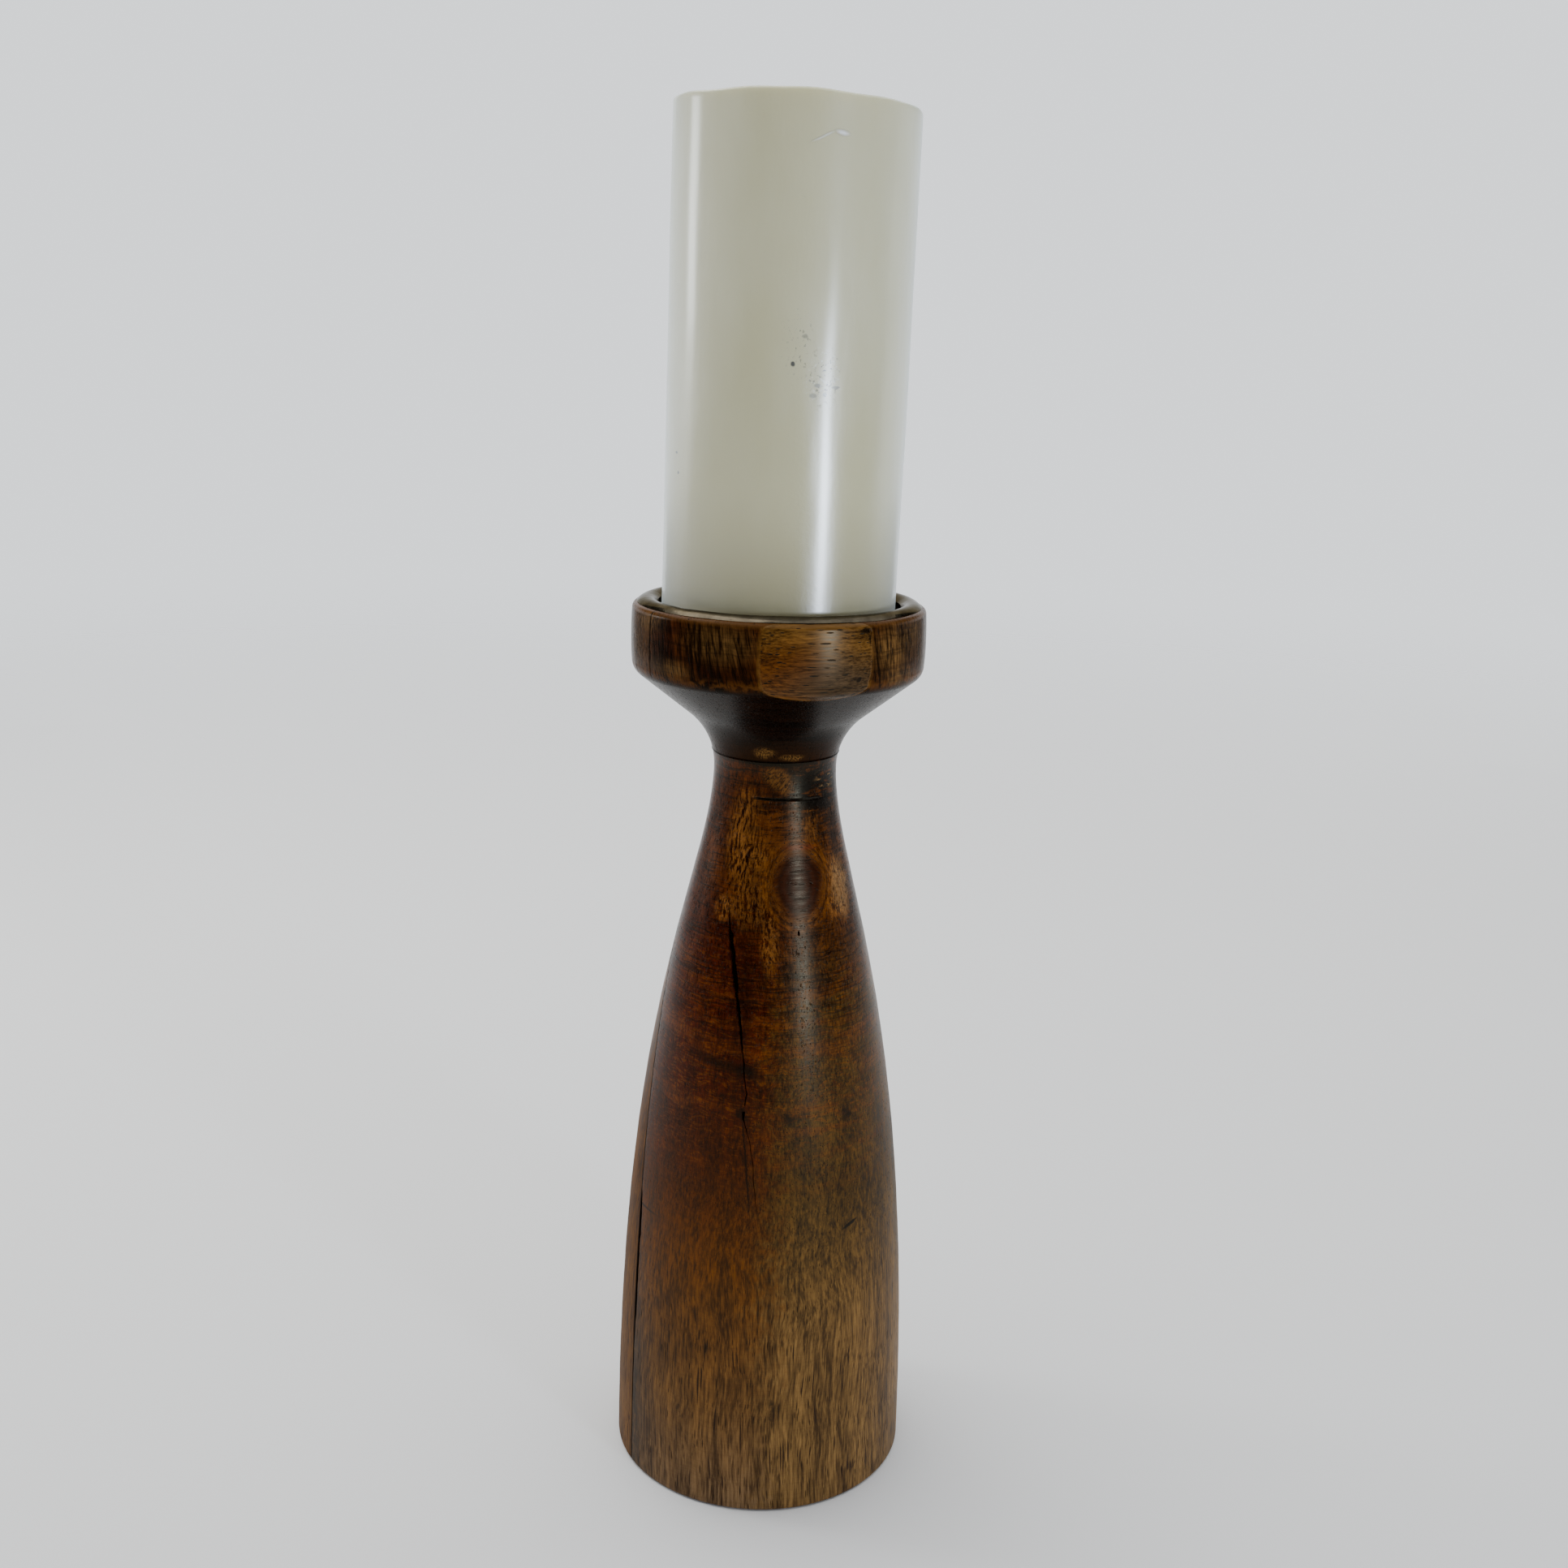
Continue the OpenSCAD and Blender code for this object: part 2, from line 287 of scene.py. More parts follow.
def blade(name, stations, direction, outer, inner):
    """A ragged blade for a crack. Stations are (height, place across, width at the surface) in mm;
    it reaches from outer to inner, as distances along the level direction."""
    across = Vector((-direction.y, direction.x, 0))
    corners = []
    for z, x, width in stations:
        for reach, share in ((outer, BLADE_FLARE), (inner, BLADE_TIP)):
            for side in (-1, 1):
                point = direction * reach + across * (x + side * width * share / 2)
                corners.append((point.x, point.y, z))
    return prism(name, corners)


def prism(name, corners):
    """A closed cutter through a row of sections. Each section is four corners, as two pairs."""
    faces = []
    last = len(corners) - 4
    for a in range(0, last, 4):
        for j, k in ((0, 1), (1, 3), (3, 2), (2, 0)):
            faces.append((a + j, a + k, a + 4 + k, a + 4 + j))
    faces += [(0, 1, 3, 2), (last, last + 1, last + 3, last + 2)]
    return link(name, solid_mesh(name, corners, faces))


def ragged(path, step, amount, rng):
    """Fills in a path of (height, across, width) and makes its line wander and its width vary."""
    out = []
    for a, b in zip(path, path[1:]):
        n = max(1, round(abs(a[0] - b[0]) / step))
        for i in range(n):
            z, x, w = (mix(a[k], b[k], i / n) for k in range(3))
            x += rng.normal(0, amount)
            out.append((z, x, max(MIN_WIDTH, w * (1 + rng.normal(0, WIDTH_SPREAD)))))
    z, x, w = path[-1]
    out.append((z, x, max(MIN_WIDTH, w)))
    return out


BELOW_SKIN = 0.22  # a face this deep is inside the wood
JOINT_BAND = 0.5  # the joint's eased edge keeps the stain
FACE_DEPTH = 0.05  # a face on a seam's plane is below the surface from here


def inner_faces(obj, dark_where):
    """Gives faces below the turned surface the raw wood, or a crack's dark where dark_where says so."""
    for face in obj.data.polygons:
        depth, z = radial_depth(face.center)
        below = depth > BELOW_SKIN or z < FOOT_Z + 0.01
        if dark_where(face.center / MM, depth):
            face.material_index = DARK_SLOT
        elif below and abs(z - JOINT_Z) > JOINT_BAND:
            face.material_index = RAW_SLOT


# ---------- the wooden boards ----------

NECK_LINE_Z = 242.0
NECK_LINE_DEEP = 0.45
NECK_LINE_HALF = 0.5
NECK_LINE_SPAN = 2.0  # the mesh is finer this far above and below the line
NECK_LINE_STEP = 0.16


def dip(z, centre, half, depth):
    """A small rounded groove round the turned surface."""
    return depth * np.clip(1 - np.abs(z - centre) / half, 0, 1) ** 1.5


def turned_shape(az, r, z):
    """The turned surface isn't perfectly round: it waves a few hundredths of a millimetre."""
    wave = 0.035 * np.sin(2 * az + z / 31) + 0.022 * np.sin(3 * az - z / 19)
    wave = wave + 0.014 * np.sin(5 * az + z / 9)
    wave = wave + 0.02 * np.sin(z / 3.7) + 0.012 * np.sin(z / 1.9 + 1)
    turn = (np.degrees(az) + 180) % 360 - 180
    reach = np.clip((turn + 21) / 5, 0, 1) * np.clip((50 - turn) / 34, 0, 1)
    wave = wave - reach * dip(z + 0.012 * turn, NECK_LINE_Z, NECK_LINE_HALF, NECK_LINE_DEEP)
    outer = r > surface_r(z) - 0.5
    return r + np.where(outer & (r > NECK_R - 1) & (z > FOOT_Z + 0.1), wave, 0), z


JOINT_EASE = 0.2


def column_blank():
    bore_foot = JOINT_Z - DOWEL_REACH - 1
    rows = [(0, FELT_T), (FELT_R + CLEARANCE, FELT_T), (FELT_R + CLEARANCE, FOOT_Z)]
    rows += densify(column_line(), 1.0)
    cove = [p for p in densify(cove_line(), 0.6) if p[1] < JOINT_Z - JOINT_EASE]
    top_r = float(surface_r(JOINT_Z))
    rows += cove[1:] + [(top_r - 0.05, JOINT_Z - JOINT_EASE), (top_r - JOINT_EASE, JOINT_Z)]
    rows += [(DOWEL_R, JOINT_Z), (DOWEL_R, bore_foot), (0, bore_foot)]
    low, high = NECK_LINE_Z - NECK_LINE_SPAN, NECK_LINE_Z + NECK_LINE_SPAN
    fine = [p for p in rows if not low < p[1] < high or p[0] < DOWEL_R + 1]
    at = next(i for i, p in enumerate(fine) if p[1] >= high and p[0] > DOWEL_R)
    band = [low + NECK_LINE_STEP * i for i in range(1, 25)]
    fine[at:at] = [(float(surface_r(z)), z) for z in band]
    return lathe_mesh("column_blank", fine, shape=turned_shape)


def cup_blank():
    top_r = float(surface_r(JOINT_Z))
    recess = DISH_R + SHEET + CLEARANCE
    dish_foot = DISH_FLOOR - SHEET
    head_h = SCREW_HEAD_R - SCREW_R
    rows = [(0, JOINT_Z + DOWEL_REACH + 1), (DOWEL_R, JOINT_Z + DOWEL_REACH + 1), (DOWEL_R, JOINT_Z)]
    rows += [(top_r - JOINT_EASE, JOINT_Z), (top_r + 0.25, JOINT_Z + JOINT_EASE)]
    rows += [p for p in densify(cove_line(), 0.7) if p[1] > JOINT_Z + JOINT_EASE + 0.1]
    rows += densify(cup_line(), 0.7)
    rows += [(recess + 0.8, RIM_Z), (recess, RIM_Z - 0.8), (recess, dish_foot)]
    rows += [(SCREW_HEAD_R + SHEET, dish_foot), (SCREW_R, dish_foot - head_h)]
    rows += [(SCREW_R, DISH_FLOOR - SCREW_L), (0, DISH_FLOOR - SCREW_L)]
    return lathe_mesh("cup_blank", rows, shape=turned_shape)


# Height, place across and width of the drying crack down the front
CRACK = [(208, -7.9, 0.6), (203, -7.4, 1.3), (199.7, -6.9, 1.5), (198.6, -6.5, 3.8), (194, -5.6, 4.2),
         (190, -4.8, 3.0), (186, -4.1, 3.9), (182.5, -3.5, 3.1), (180, -3, 1.8), (176, -2.2, 2.0),
         (171, -1.2, 1.3), (167, -0.5, 1.5), (163, 0.1, 0.8), (159, 0.9, 0.7), (153, 1.6, 0.5),
         (148, 2.6, 0.5), (144, 2.3, 0.4), (142.2, 2.1, 1.0), (139.8, 2.2, 1.2), (138.2, 2.6, 0.4),
         (132, 4.7, 0.28), (124, 6.2, 0.34), (112, 7.5, 0.22), (103, 9.8, 0.05)]
CRACK_FOOT = 7  # how many of these are its fine foot
CRACK_INNER = 22  # how far from the axis it ends
CRACK_STEP = 1.4  # between its ragged points
CRACK_WANDER = 0.1
CRACK_LOW, CRACK_HIGH = 98, 208  # its walls lie between these heights,
CRACK_DEEPEST, CRACK_FRONT = 20, -15  # no deeper than this and in front of this y
SEAM_SHADE_REACH = 1.2  # how far the painted shade reaches in from the open glue line
WORM_HOLE = [(200.2, 0, 0.3), (199.8, 0, 0.9), (199, 0, 0.9), (198.6, 0, 0.3)]
WORM_HOLE_AZ = 17.7


def column_main_board(blank, materials):
    rng = np.random.default_rng(7)
    obj = link("column_main_wood", saw(blank, unit(SIDE_SEAM_ANGLE), SIDE_SEAM_D, True))
    face = unit(CRACK_AZ - 90)
    for path in (CRACK[:-CRACK_FOOT], CRACK[-CRACK_FOOT:]):
        line = ragged(path, CRACK_STEP, CRACK_WANDER, rng)
        carve(obj, blade("crack_blade", line, face, FOOT_R + 4, CRACK_INNER))
    hole = unit(WORM_HOLE_AZ - 90)
    carve(obj, blade("hole_blade", WORM_HOLE, hole, 33, 25))
    carve(obj, seam_wedge(rng))
    seam = unit(SIDE_SEAM_ANGLE)

    def dark(co, depth):
        near_seam = co.dot(seam) > SIDE_SEAM_D - SEAM_SHADE_REACH and depth > FACE_DEPTH
        crack_height = CRACK_LOW < co.z < CRACK_HIGH and co.y < CRACK_FRONT
        return near_seam or (crack_height and BELOW_SKIN < depth < CRACK_DEEPEST)

    inner_faces(obj, dark)
    finish_board(obj, "column_main_board", "column_wood", materials)


def seam_wedge(rng):
    """The opened part of the side board's glue line, at the front only."""
    normal = unit(SIDE_SEAM_ANGLE)
    along = Vector((-normal.y, normal.x, 0))
    corners = []
    for z in np.linspace(GAP_HEIGHTS[0], GAP_HEIGHTS[-1], GAP_SECTIONS):
        wide = np.interp(z, GAP_HEIGHTS, GAP_WIDTHS) * (1 + rng.normal(0, GAP_SPREAD))
        for reach, share in ((GAP_OUTER, 1.0), (GAP_INNER, 0.4)):
            for d in (SIDE_SEAM_D + 0.4, SIDE_SEAM_D - wide * share):
                point = normal * d + along * reach
                corners.append((point.x, point.y, z))
    return prism("seam_wedge", corners)


def column_side_board(blank, materials):
    obj = link("column_side_wood", saw(blank, unit(SIDE_SEAM_ANGLE), SIDE_SEAM_D, False))
    seam = unit(SIDE_SEAM_ANGLE)

    def dark(co, depth):
        return co.dot(seam) < SIDE_SEAM_D + 0.02 and depth > FACE_DEPTH

    inner_faces(obj, dark)
    finish_board(obj, "column_side_board", "side_board_wood", materials)


def cup_piece(blank, name, node, slot, near, far, materials):
    """One board of the cup's stack, between two distances along the stack."""
    face = unit(STACK_ANGLE)
    mesh = blank
    if far is not None:
        mesh = saw(mesh, face, far, True)
    if near is not None:
        mesh = saw(mesh, face, near, False)
    obj = link(name, mesh)
    inner_faces(obj, lambda co, depth: False)
    finish_board(obj, node, slot, materials)


def finish_board(obj, node, slot, materials):
    obj.data.shade_smooth()
    obj.data.set_sharp_from_angle(angle=math.radians(32))
    stand_for(obj, "holder", node, slot, *materials)


def stand_for(obj, body, node, slot, *materials):
    """Clothes a piece, which moves with a body and takes the place of a CAD node."""
    clothe(obj, *materials)
    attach(obj, body)
    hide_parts(node)


def clothe(obj, *materials):
    obj.data.materials.clear()
    for material in materials:
        obj.data.materials.append(material)


# ---------- dish, candle, wick and felt ----------

def dish_shape(az, r, z):
    """Pressed sheet metal: the flange waves a little."""
    share = np.clip((r - DISH_R) / (FLANGE_R - DISH_R), 0, 1)
    z = z + share * (0.07 * np.sin(3 * az + 1) + 0.05 * np.sin(7 * az) + 0.03 * np.sin(13 * az + 2))
    return r + share * (0.06 * np.sin(4 * az) + 0.04 * np.sin(9 * az + 1)), z


def candle_dish(material):
    half = (FLANGE_R - DISH_R) / 2
    middle = (FLANGE_R + DISH_R) / 2
    crest_r = (half ** 2 + FLANGE_RISE ** 2) / (2 * FLANGE_RISE)
    centre = (middle, RIM_Z + FLANGE_RISE - crest_r)
    inner_r = crest_r - SHEET
    rise = RIM_Z + 0.12 - centre[1]
    seat = math.degrees(math.asin(rise / crest_r))
    under = math.degrees(math.asin(rise / inner_r))
    wall = math.degrees(math.acos((DISH_R + SHEET - middle) / inner_r))
    fillet = (DISH_R - DISH_FILLET, DISH_FLOOR + DISH_FILLET)
    hole = SCREW_R + CLEARANCE
    dimple = SCREW_HEAD_R - hole + SHEET
    top = arc(centre, crest_r, seat, 180 - seat, 28) + arc(fillet, DISH_FILLET, 0, -90, 8)
    top += [(SCREW_HEAD_R + CLEARANCE, DISH_FLOOR), (hole, DISH_FLOOR - dimple + SHEET)]
    low = [(hole, DISH_FLOOR - dimple), (SCREW_HEAD_R + SHEET - CLEARANCE, DISH_FLOOR - SHEET)]
    low += arc(fillet, DISH_FILLET + SHEET, -90, 0, 8) + arc(centre, inner_r, wall, under, 20)
    mesh = lathe_mesh("candle_dish", densify(top, 2.5) + densify(low, 4), closed=True, shape=dish_shape)
    obj = link("candle_dish_metal", mesh)
    stand_for(obj, "holder", "candle_dish", "dish_metal", material)


def candle_lean():
    """Turns the candle about the middle of its foot, in metres."""
    foot = Vector((CANDLE_SHIFT, 0, DISH_FLOOR)) * MM
    tilt = Matrix.Rotation(math.radians(CANDLE_LEAN), 4, "Y")
    return Matrix.Translation(foot) @ tilt @ Matrix.Translation(-foot + Vector((CANDLE_SHIFT * MM, 0, 0)))


def candle_shape(az, r, z):
    """Hand-worn wax: soft hollows in the wall, a burnt rim that slants and wavers, ripples in the pool."""
    lift = np.clip((z - 425) / 24, 0, 1) ** 2
    rim = -np.tan(math.radians(RIM_SLANT)) * r * np.sin(az)
    rim = rim + 0.35 * np.sin(2 * az + 0.8) + 0.22 * np.sin(5 * az + 2) + 0.12 * np.sin(11 * az)
    wall = 0.10 * np.sin(2 * az + z / 37) + 0.07 * np.sin(3 * az - z / 23) + 0.04 * np.sin(z / 11 + 4 * az)
    outside = (r > CANDLE_R - 1.5) & (z > DISH_FLOOR + 4)
    inside = (r < CANDLE_R - 1.5) & (z > 430)
    ripple = 0.14 * np.sin(r / 2.6 + 1.5 * np.sin(2 * az)) + 0.1 * np.sin(3 * az + r / 4)
    pool = inside & (r < CANDLE_R - POOL_WALL - 2)
    waver = 0.5 * np.sin(3 * az + 1) + 0.35 * np.sin(7 * az + 2) + 0.2 * np.sin(12 * az)
    r_new = r + np.where(outside, wall - 0.10, 0) + np.where(inside & ~pool, waver * 0.7, 0)
    return r_new, z + np.where(z > 425, np.where(pool, ripple, lift * rim), 0)


def pillar_candle(material):
    foot_round = 3.0
    dip_below = 0.6
    rim_r = 1.0
    lip = 1.8
    pool_round = 9.0
    pool_r = CANDLE_R - POOL_WALL
    tab_r, tab_top = 8.0, DISH_FLOOR + TAB_SINK + 0.6
    neck_r, neck_top = 2.2, DISH_FLOOR + TAB_SINK + 6.0
    rows = [(0, neck_top), (neck_r, neck_top), (neck_r, tab_top), (tab_r, tab_top), (tab_r, DISH_FLOOR)]
    start = (CANDLE_R - foot_round, DISH_FLOOR - dip_below + foot_round)
    round_edge = [p for p in arc(start, foot_round, -90, 0, 14) if p[1] > DISH_FLOOR + 0.05]
    rows += [(round_edge[0][0] - 0.8, DISH_FLOOR + 0.02)]
    outside = round_edge + [(CANDLE_R, CANDLE_TOP - rim_r)]
    rows += densify(outside, 1.1)
    rows += arc((CANDLE_R - rim_r, CANDLE_TOP - rim_r), rim_r, 15, 90, 6)
    rows += arc((CANDLE_R - rim_r - lip, CANDLE_TOP - lip), lip, 90, 165, 8)
    inner = [(pool_r + 0.6, CANDLE_TOP - 4)]
    inner += arc((pool_r - pool_round, POOL_FLOOR + pool_round), pool_round, 0, -90, 14)
    inner += [(4, POOL_FLOOR), (2.0, POOL_FLOOR + 0.35), (WICK_R, POOL_FLOOR + 1.1)]
    rows += densify(inner, 1.1) + [(0, POOL_FLOOR + 1.1)]
    mesh = lathe_mesh("pillar_candle", rows, shape=candle_shape)
    mesh.transform(candle_lean())
    obj = link("pillar_candle_wax", mesh, 60)
    stand_for(obj, "candle", "pillar_candle", "wax", material)


def wick(material):
    """A braided wick: upright out of the pool, then curling over, thinner and ragged at its burnt end."""
    steps, sides = 70, 28
    start = DISH_FLOOR + TAB_SINK
    straight = POOL_FLOOR + WICK_STAND - WICK_R - start
    lean = math.radians(WICK_LEAN)
    verts, faces = [], []
    for i in range(steps + 1):
        t = i / steps
        along = t ** 0.5 * (straight + WICK_END)
        over = max(0.0, along - straight)
        bend = lean * min(1.0, over / 2.5)
        x = over * math.sin(bend)
        z = start + min(along, straight) + over * math.cos(bend)
        r = mix(WICK_R, 0.82, min(1, over / WICK_END)) - 0.05
        for j in range(sides):
            a = 2 * math.pi * j / sides
            braid = 0.09 * math.cos(3 * a + along * 1.7) + 0.07 * math.cos(3 * a - along * 1.7 + 1)
            char = 0.05 * math.sin(9 * a + 5 * along) * min(1, over / 2)
            rr = r + braid + char - 0.12
            px, py = rr * math.cos(a), rr * math.sin(a)
            verts.append(((x + px * math.cos(bend)) * MM, py * MM, (z - px * math.sin(bend)) * MM))
    for i in range(steps):
        for j in range(sides):
            k = (j + 1) % sides
            a, b = i * sides, (i + 1) * sides
            faces.append((a + j, a + k, b + k, b + j))
    faces.append(tuple(range(sides))[::-1])
    faces.append(tuple(range(steps * sides, (steps + 1) * sides)))
    mesh = bpy.data.meshes.new("wick")
    mesh.from_pydata(verts, [], faces)
    mesh.transform(candle_lean())
    obj = link("wick_braid", mesh, 50)
    stand_for(obj, "candle", "wick", "burnt_wick", material)


def felt_disc(material):
    rows = [(0, 0.02), (FELT_R - 0.5, 0.02), (FELT_R - 0.1, 0.3), (FELT_R, 0.8)]
    rows += [(FELT_R - 0.1, FELT_T), (0, FELT_T)]

    def fuzz(az, r, z):
        r = r + 0.12 * np.sin(17 * az) * np.sin(5 * az)
        return r, z + np.where(z < 0.1, 0.02 * np.sin(r * 2 + 7 * az), 0)

    obj = link("base_felt_disc", lathe_mesh("felt", densify(rows, 2.5), shape=fuzz, segments=144))
    stand_for(obj, "holder", "base_felt", "felt", material)


# ---------- material tools ----------

def tone(r, g, b):
    """A colour given on the 0 to 255 display scale, as linear values."""
    def lin(c):
        c = c / 255
        return c / 12.92 if c <= 0.04045 else ((c + 0.055) / 1.055) ** 2.4
    return (lin(r), lin(g), lin(b), 1)


class Graph:
    """Short calls for building one material's nodes. Lengths are in millimetres.
    paint() lays one colour over another, and self.colour is the top of the pile."""

    def __init__(self, name):
        self.mat = bpy.data.materials.new(name)
        self.mat.use_nodes = True
        self.tree = self.mat.node_tree
        self.tree.nodes.clear()
        coord = self.node("ShaderNodeTexCoord")
        self.p = self.vec("SCALE", coord.outputs["Object"], scale=1 / MM)
        self.x, _, self.z = self.split(self.p)
        self.colour = None

    def node(self, kind, **settings):
        n = self.tree.nodes.new(kind)
        for key, value in settings.items():
            setattr(n, key, value)
        return n

    def put(self, socket, value):
        if isinstance(value, bpy.types.NodeSocket):
            self.tree.links.new(value, socket)
        else:
            socket.default_value = value

    def math(self, op, *values, clamp=False):
        n = self.node("ShaderNodeMath", operation=op, use_clamp=clamp)
        for socket, value in zip(n.inputs, values):
            self.put(socket, value)
        return n.outputs[0]

    def add(self, a, b):
        return self.math("ADD", a, b)

    def sub(self, a, b, clamp=False):
        return self.math("SUBTRACT", a, b, clamp=clamp)

    def mul(self, product, *others):
        for other in others:
            product = self.math("MULTIPLY", product, other)
        return product

    def apart(self, a, b):
        """How far two values lie apart."""
        return self.math("ABSOLUTE", self.sub(a, b))

    def vec(self, op, a, b=None, scale=None):
        n = self.node("ShaderNodeVectorMath", operation=op)
        self.put(n.inputs[0], a)
        if b is not None:
            self.put(n.inputs[1], b)
        if scale is not None:
            self.put(n.inputs["Scale"], scale)
        return n.outputs["Value" if op in ("LENGTH", "DOT_PRODUCT") else "Vector"]

    def stretch(self, vector, x, y, z):
        return self.vec("MULTIPLY", vector, (x, y, z))

    def split(self, vector):
        n = self.node("ShaderNodeSeparateXYZ")
        self.put(n.inputs[0], vector)
        return n.outputs

    def xyz(self, x, y, z):
        n = self.node("ShaderNodeCombineXYZ")
        for socket, value in zip(n.inputs, (x, y, z)):
            self.put(socket, value)
        return n.outputs[0]

    def map(self, vector, loc=(0, 0, 0), turn=(0, 0, 0), scale=(1, 1, 1), kind="TEXTURE"):
        n = self.node("ShaderNodeMapping", vector_type=kind)
        self.put(n.inputs["Vector"], vector)
        n.inputs["Location"].default_value = loc
        n.inputs["Rotation"].default_value = [math.radians(a) for a in turn]
        n.inputs["Scale"].default_value = scale
        return n.outputs[0]

    def noise(self, vector, scale, detail=3, rough=0.5, twist=0, colour=False):
        n = self.node("ShaderNodeTexNoise")
        self.put(n.inputs["Vector"], vector)
        self.put(n.inputs["Scale"], scale)
        n.inputs["Detail"].default_value = detail
        n.inputs["Roughness"].default_value = rough
        n.inputs["Distortion"].default_value = twist
        return n.outputs["Color" if colour else 0]

    def cells(self, vector, scale):
        """Distance to the nearest cell centre, and two random values for each cell."""
        n = self.node("ShaderNodeTexVoronoi")
        self.put(n.inputs["Vector"], vector)
        self.put(n.inputs["Scale"], scale)
        chance = self.node("ShaderNodeSeparateColor")
        self.put(chance.inputs[0], n.outputs["Color"])
        return n.outputs["Distance"], chance.outputs[0], chance.outputs[1]

    def fit(self, value, a, b, lo=0.0, hi=1.0, smooth=False):
        """Maps a..b to lo..hi and holds it there."""
        n = self.node("ShaderNodeMapRange", interpolation_type="SMOOTHSTEP" if smooth else "LINEAR")
        self.put(n.inputs["Value"], value)
        for key, v in zip(("From Min", "From Max", "To Min", "To Max"), (a, b, lo, hi)):
            self.put(n.inputs[key], v)
        return n.outputs[0]

    def spread(self, pattern, lo=0.0, hi=1.0):
        """Draws the middle range of a noise out to lo..hi."""
        return self.fit(pattern, 0.3, 0.7, lo, hi)

    def blend(self, share, a, b):
        """From a to b. A colour is a socket, three values on the display scale, or four linear ones."""
        n = self.node("ShaderNodeMix", data_type="RGBA")
        self.put(n.inputs[0], share)
        for socket, colour in ((n.inputs[6], a), (n.inputs[7], b)):
            on_display_scale = isinstance(colour, tuple) and len(colour) == 3
            self.put(socket, tone(*colour) if on_display_scale else colour)
        return n.outputs[2]

    def paint(self, colour, *shares):
        """Lays a colour over what is there, by the product of the shares."""
        self.colour = self.blend(self.mul(*shares), self.colour, colour)

    def ramp(self, value, *stops):
        n = self.node("ShaderNodeValToRGB")
        self.put(n.inputs[0], value)
        band = n.color_ramp.elements
        while len(band) < len(stops):
            band.new(0.5)
        for element, (position, colour) in zip(band, stops):
            element.position = position
            element.color = tone(*colour)
        return n.outputs[0]

    def deepen(self, colour, power):
        """Deepens a colour: dark and saturated parts go down most."""
        n = self.node("ShaderNodeGamma")
        self.put(n.inputs[0], colour)
        self.put(n.inputs[1], power)
        return n.outputs[0]

    def oval(self, vector, az, z, half_across, half_up, tilt=0, deep=16):
        """Distance from an oval's centre, 1 at its edge, and the place inside it.
        The oval lies on the turned surface, at an azimuth from the front and a height."""
        r = float(surface_r(z)) if z < RIM_Z + 1 else CANDLE_R
        a = math.radians(az)
        local = self.map(vector, (r * math.sin(a), -r * math.cos(a), z), (0, tilt, az),
                         (half_across, deep, half_up))
        return self.vec("LENGTH", local), local

    def spot(self, vector, az, z, half_across, half_up, soft=0.5, **shape):
        """A soft oval: 1 inside, 0 outside."""
        k, _ = self.oval(vector, az, z, half_across, half_up, **shape)
        return self.fit(k, 1 + soft, 1 - soft, smooth=True)

    def wobble(self, vector, scale, amount):
        """Moves a position about by a noise of its own."""
        n = self.noise(vector, scale, 2, colour=True)
        n = self.vec("SUBTRACT", n, (0.5, 0.5, 0.5))
        return self.vec("ADD", vector, self.vec("SCALE", n, scale=2 * amount))

    def bump(self, height, distance):
        n = self.node("ShaderNodeBump")
        n.inputs["Strength"].default_value = 1.0
        n.inputs["Distance"].default_value = distance * MM
        self.put(n.inputs["Height"], height)
        return n.outputs[0]

    def surface(self, **values):
        """Ends the material in one Principled shader; names are its sockets with _ for a space."""
        self.end(self.shader("ShaderNodeBsdfPrincipled", **values))
        return self.mat

    def shader(self, kind, **values):
        shader = self.node(kind)
        for key, value in values.items():
            self.put(shader.inputs[key.replace("_", " ")], value)
        return shader.outputs[0]

    def end(self, shader):
        out = self.node("ShaderNodeOutputMaterial")
        self.put(out.inputs["Surface"], shader)


# ---------- wood ----------

STAIN_DEPTH = 1.25
VARNISH = (1.0, 0.88, 0.6, 1.0)  # the reflection's tint on the column and the slabs
CUP_VARNISH = (1.0, 0.75, 0.45, 1.0)
GRAIN_DEPTH = 0.06  # of the bump, in mm
STREAK_SHARE = 0.95
GROOVE_DARK = (12, 6, 3)
RING_SCALE = (0.035, 0.035, 1)  # drawn out round the turned surface


def grain(g, p, along, fine=1.0):
    """Streaks, soft bands and pores of wood whose fibres run along Z of p, drawn out by along."""
    drawn = g.stretch(p, 1, 1, 1 / along)
    streak = g.noise(drawn, 1.15 * fine, 5, 0.62)
    hair = g.noise(g.stretch(p, 1, 1, 0.6 / along), 3.4 * fine, 2, 0.5)
    band = g.noise(drawn, 0.17, 3, 0.55, 0.6)
    return streak, hair, band


def paleness(g, streak, hair, band, band_part, hair_part, low, high):
    """Where the wood is pale, 0 to 1, from its streaks, bands and hairs."""
    share = g.add(g.mul(streak, STREAK_SHARE), g.mul(band, band_part))
    return g.fit(g.add(share, g.mul(hair, hair_part)), low, high)


def pores(g, p, long, scale, share, small=0.14, large=0.34):
    """Dark open pores: short dashes along Z of p. share is how many of the cells have one."""
    near, chance, spread = g.cells(g.stretch(p, 1, 1, 1 / long), scale)
    present = g.math("LESS_THAN", chance, share)
    size = g.fit(spread, 0, 1, small, large)
    return g.mul(g.fit(near, size, g.mul(size, 0.55), smooth=True), present)


def seam_line(g, angle, distance, half):
    """1 on a glue line's plane, fading to 0 at half a width from it; and the distance from the plane."""
    d = g.sub(g.vec("DOT_PRODUCT", g.p, tuple(unit(angle))), distance)
    return g.fit(g.math("ABSOLUTE", d), half, half * 0.3, smooth=True), d


def rim_wear(g, fine, much):
    """Where the edge of the wooden rim is rubbed."""
    return g.fit(g.add(g.z, g.mul(g.noise(fine, 0.5), 1.2)), RIM_Z - 1.5, RIM_Z - 0.2, 0, much)


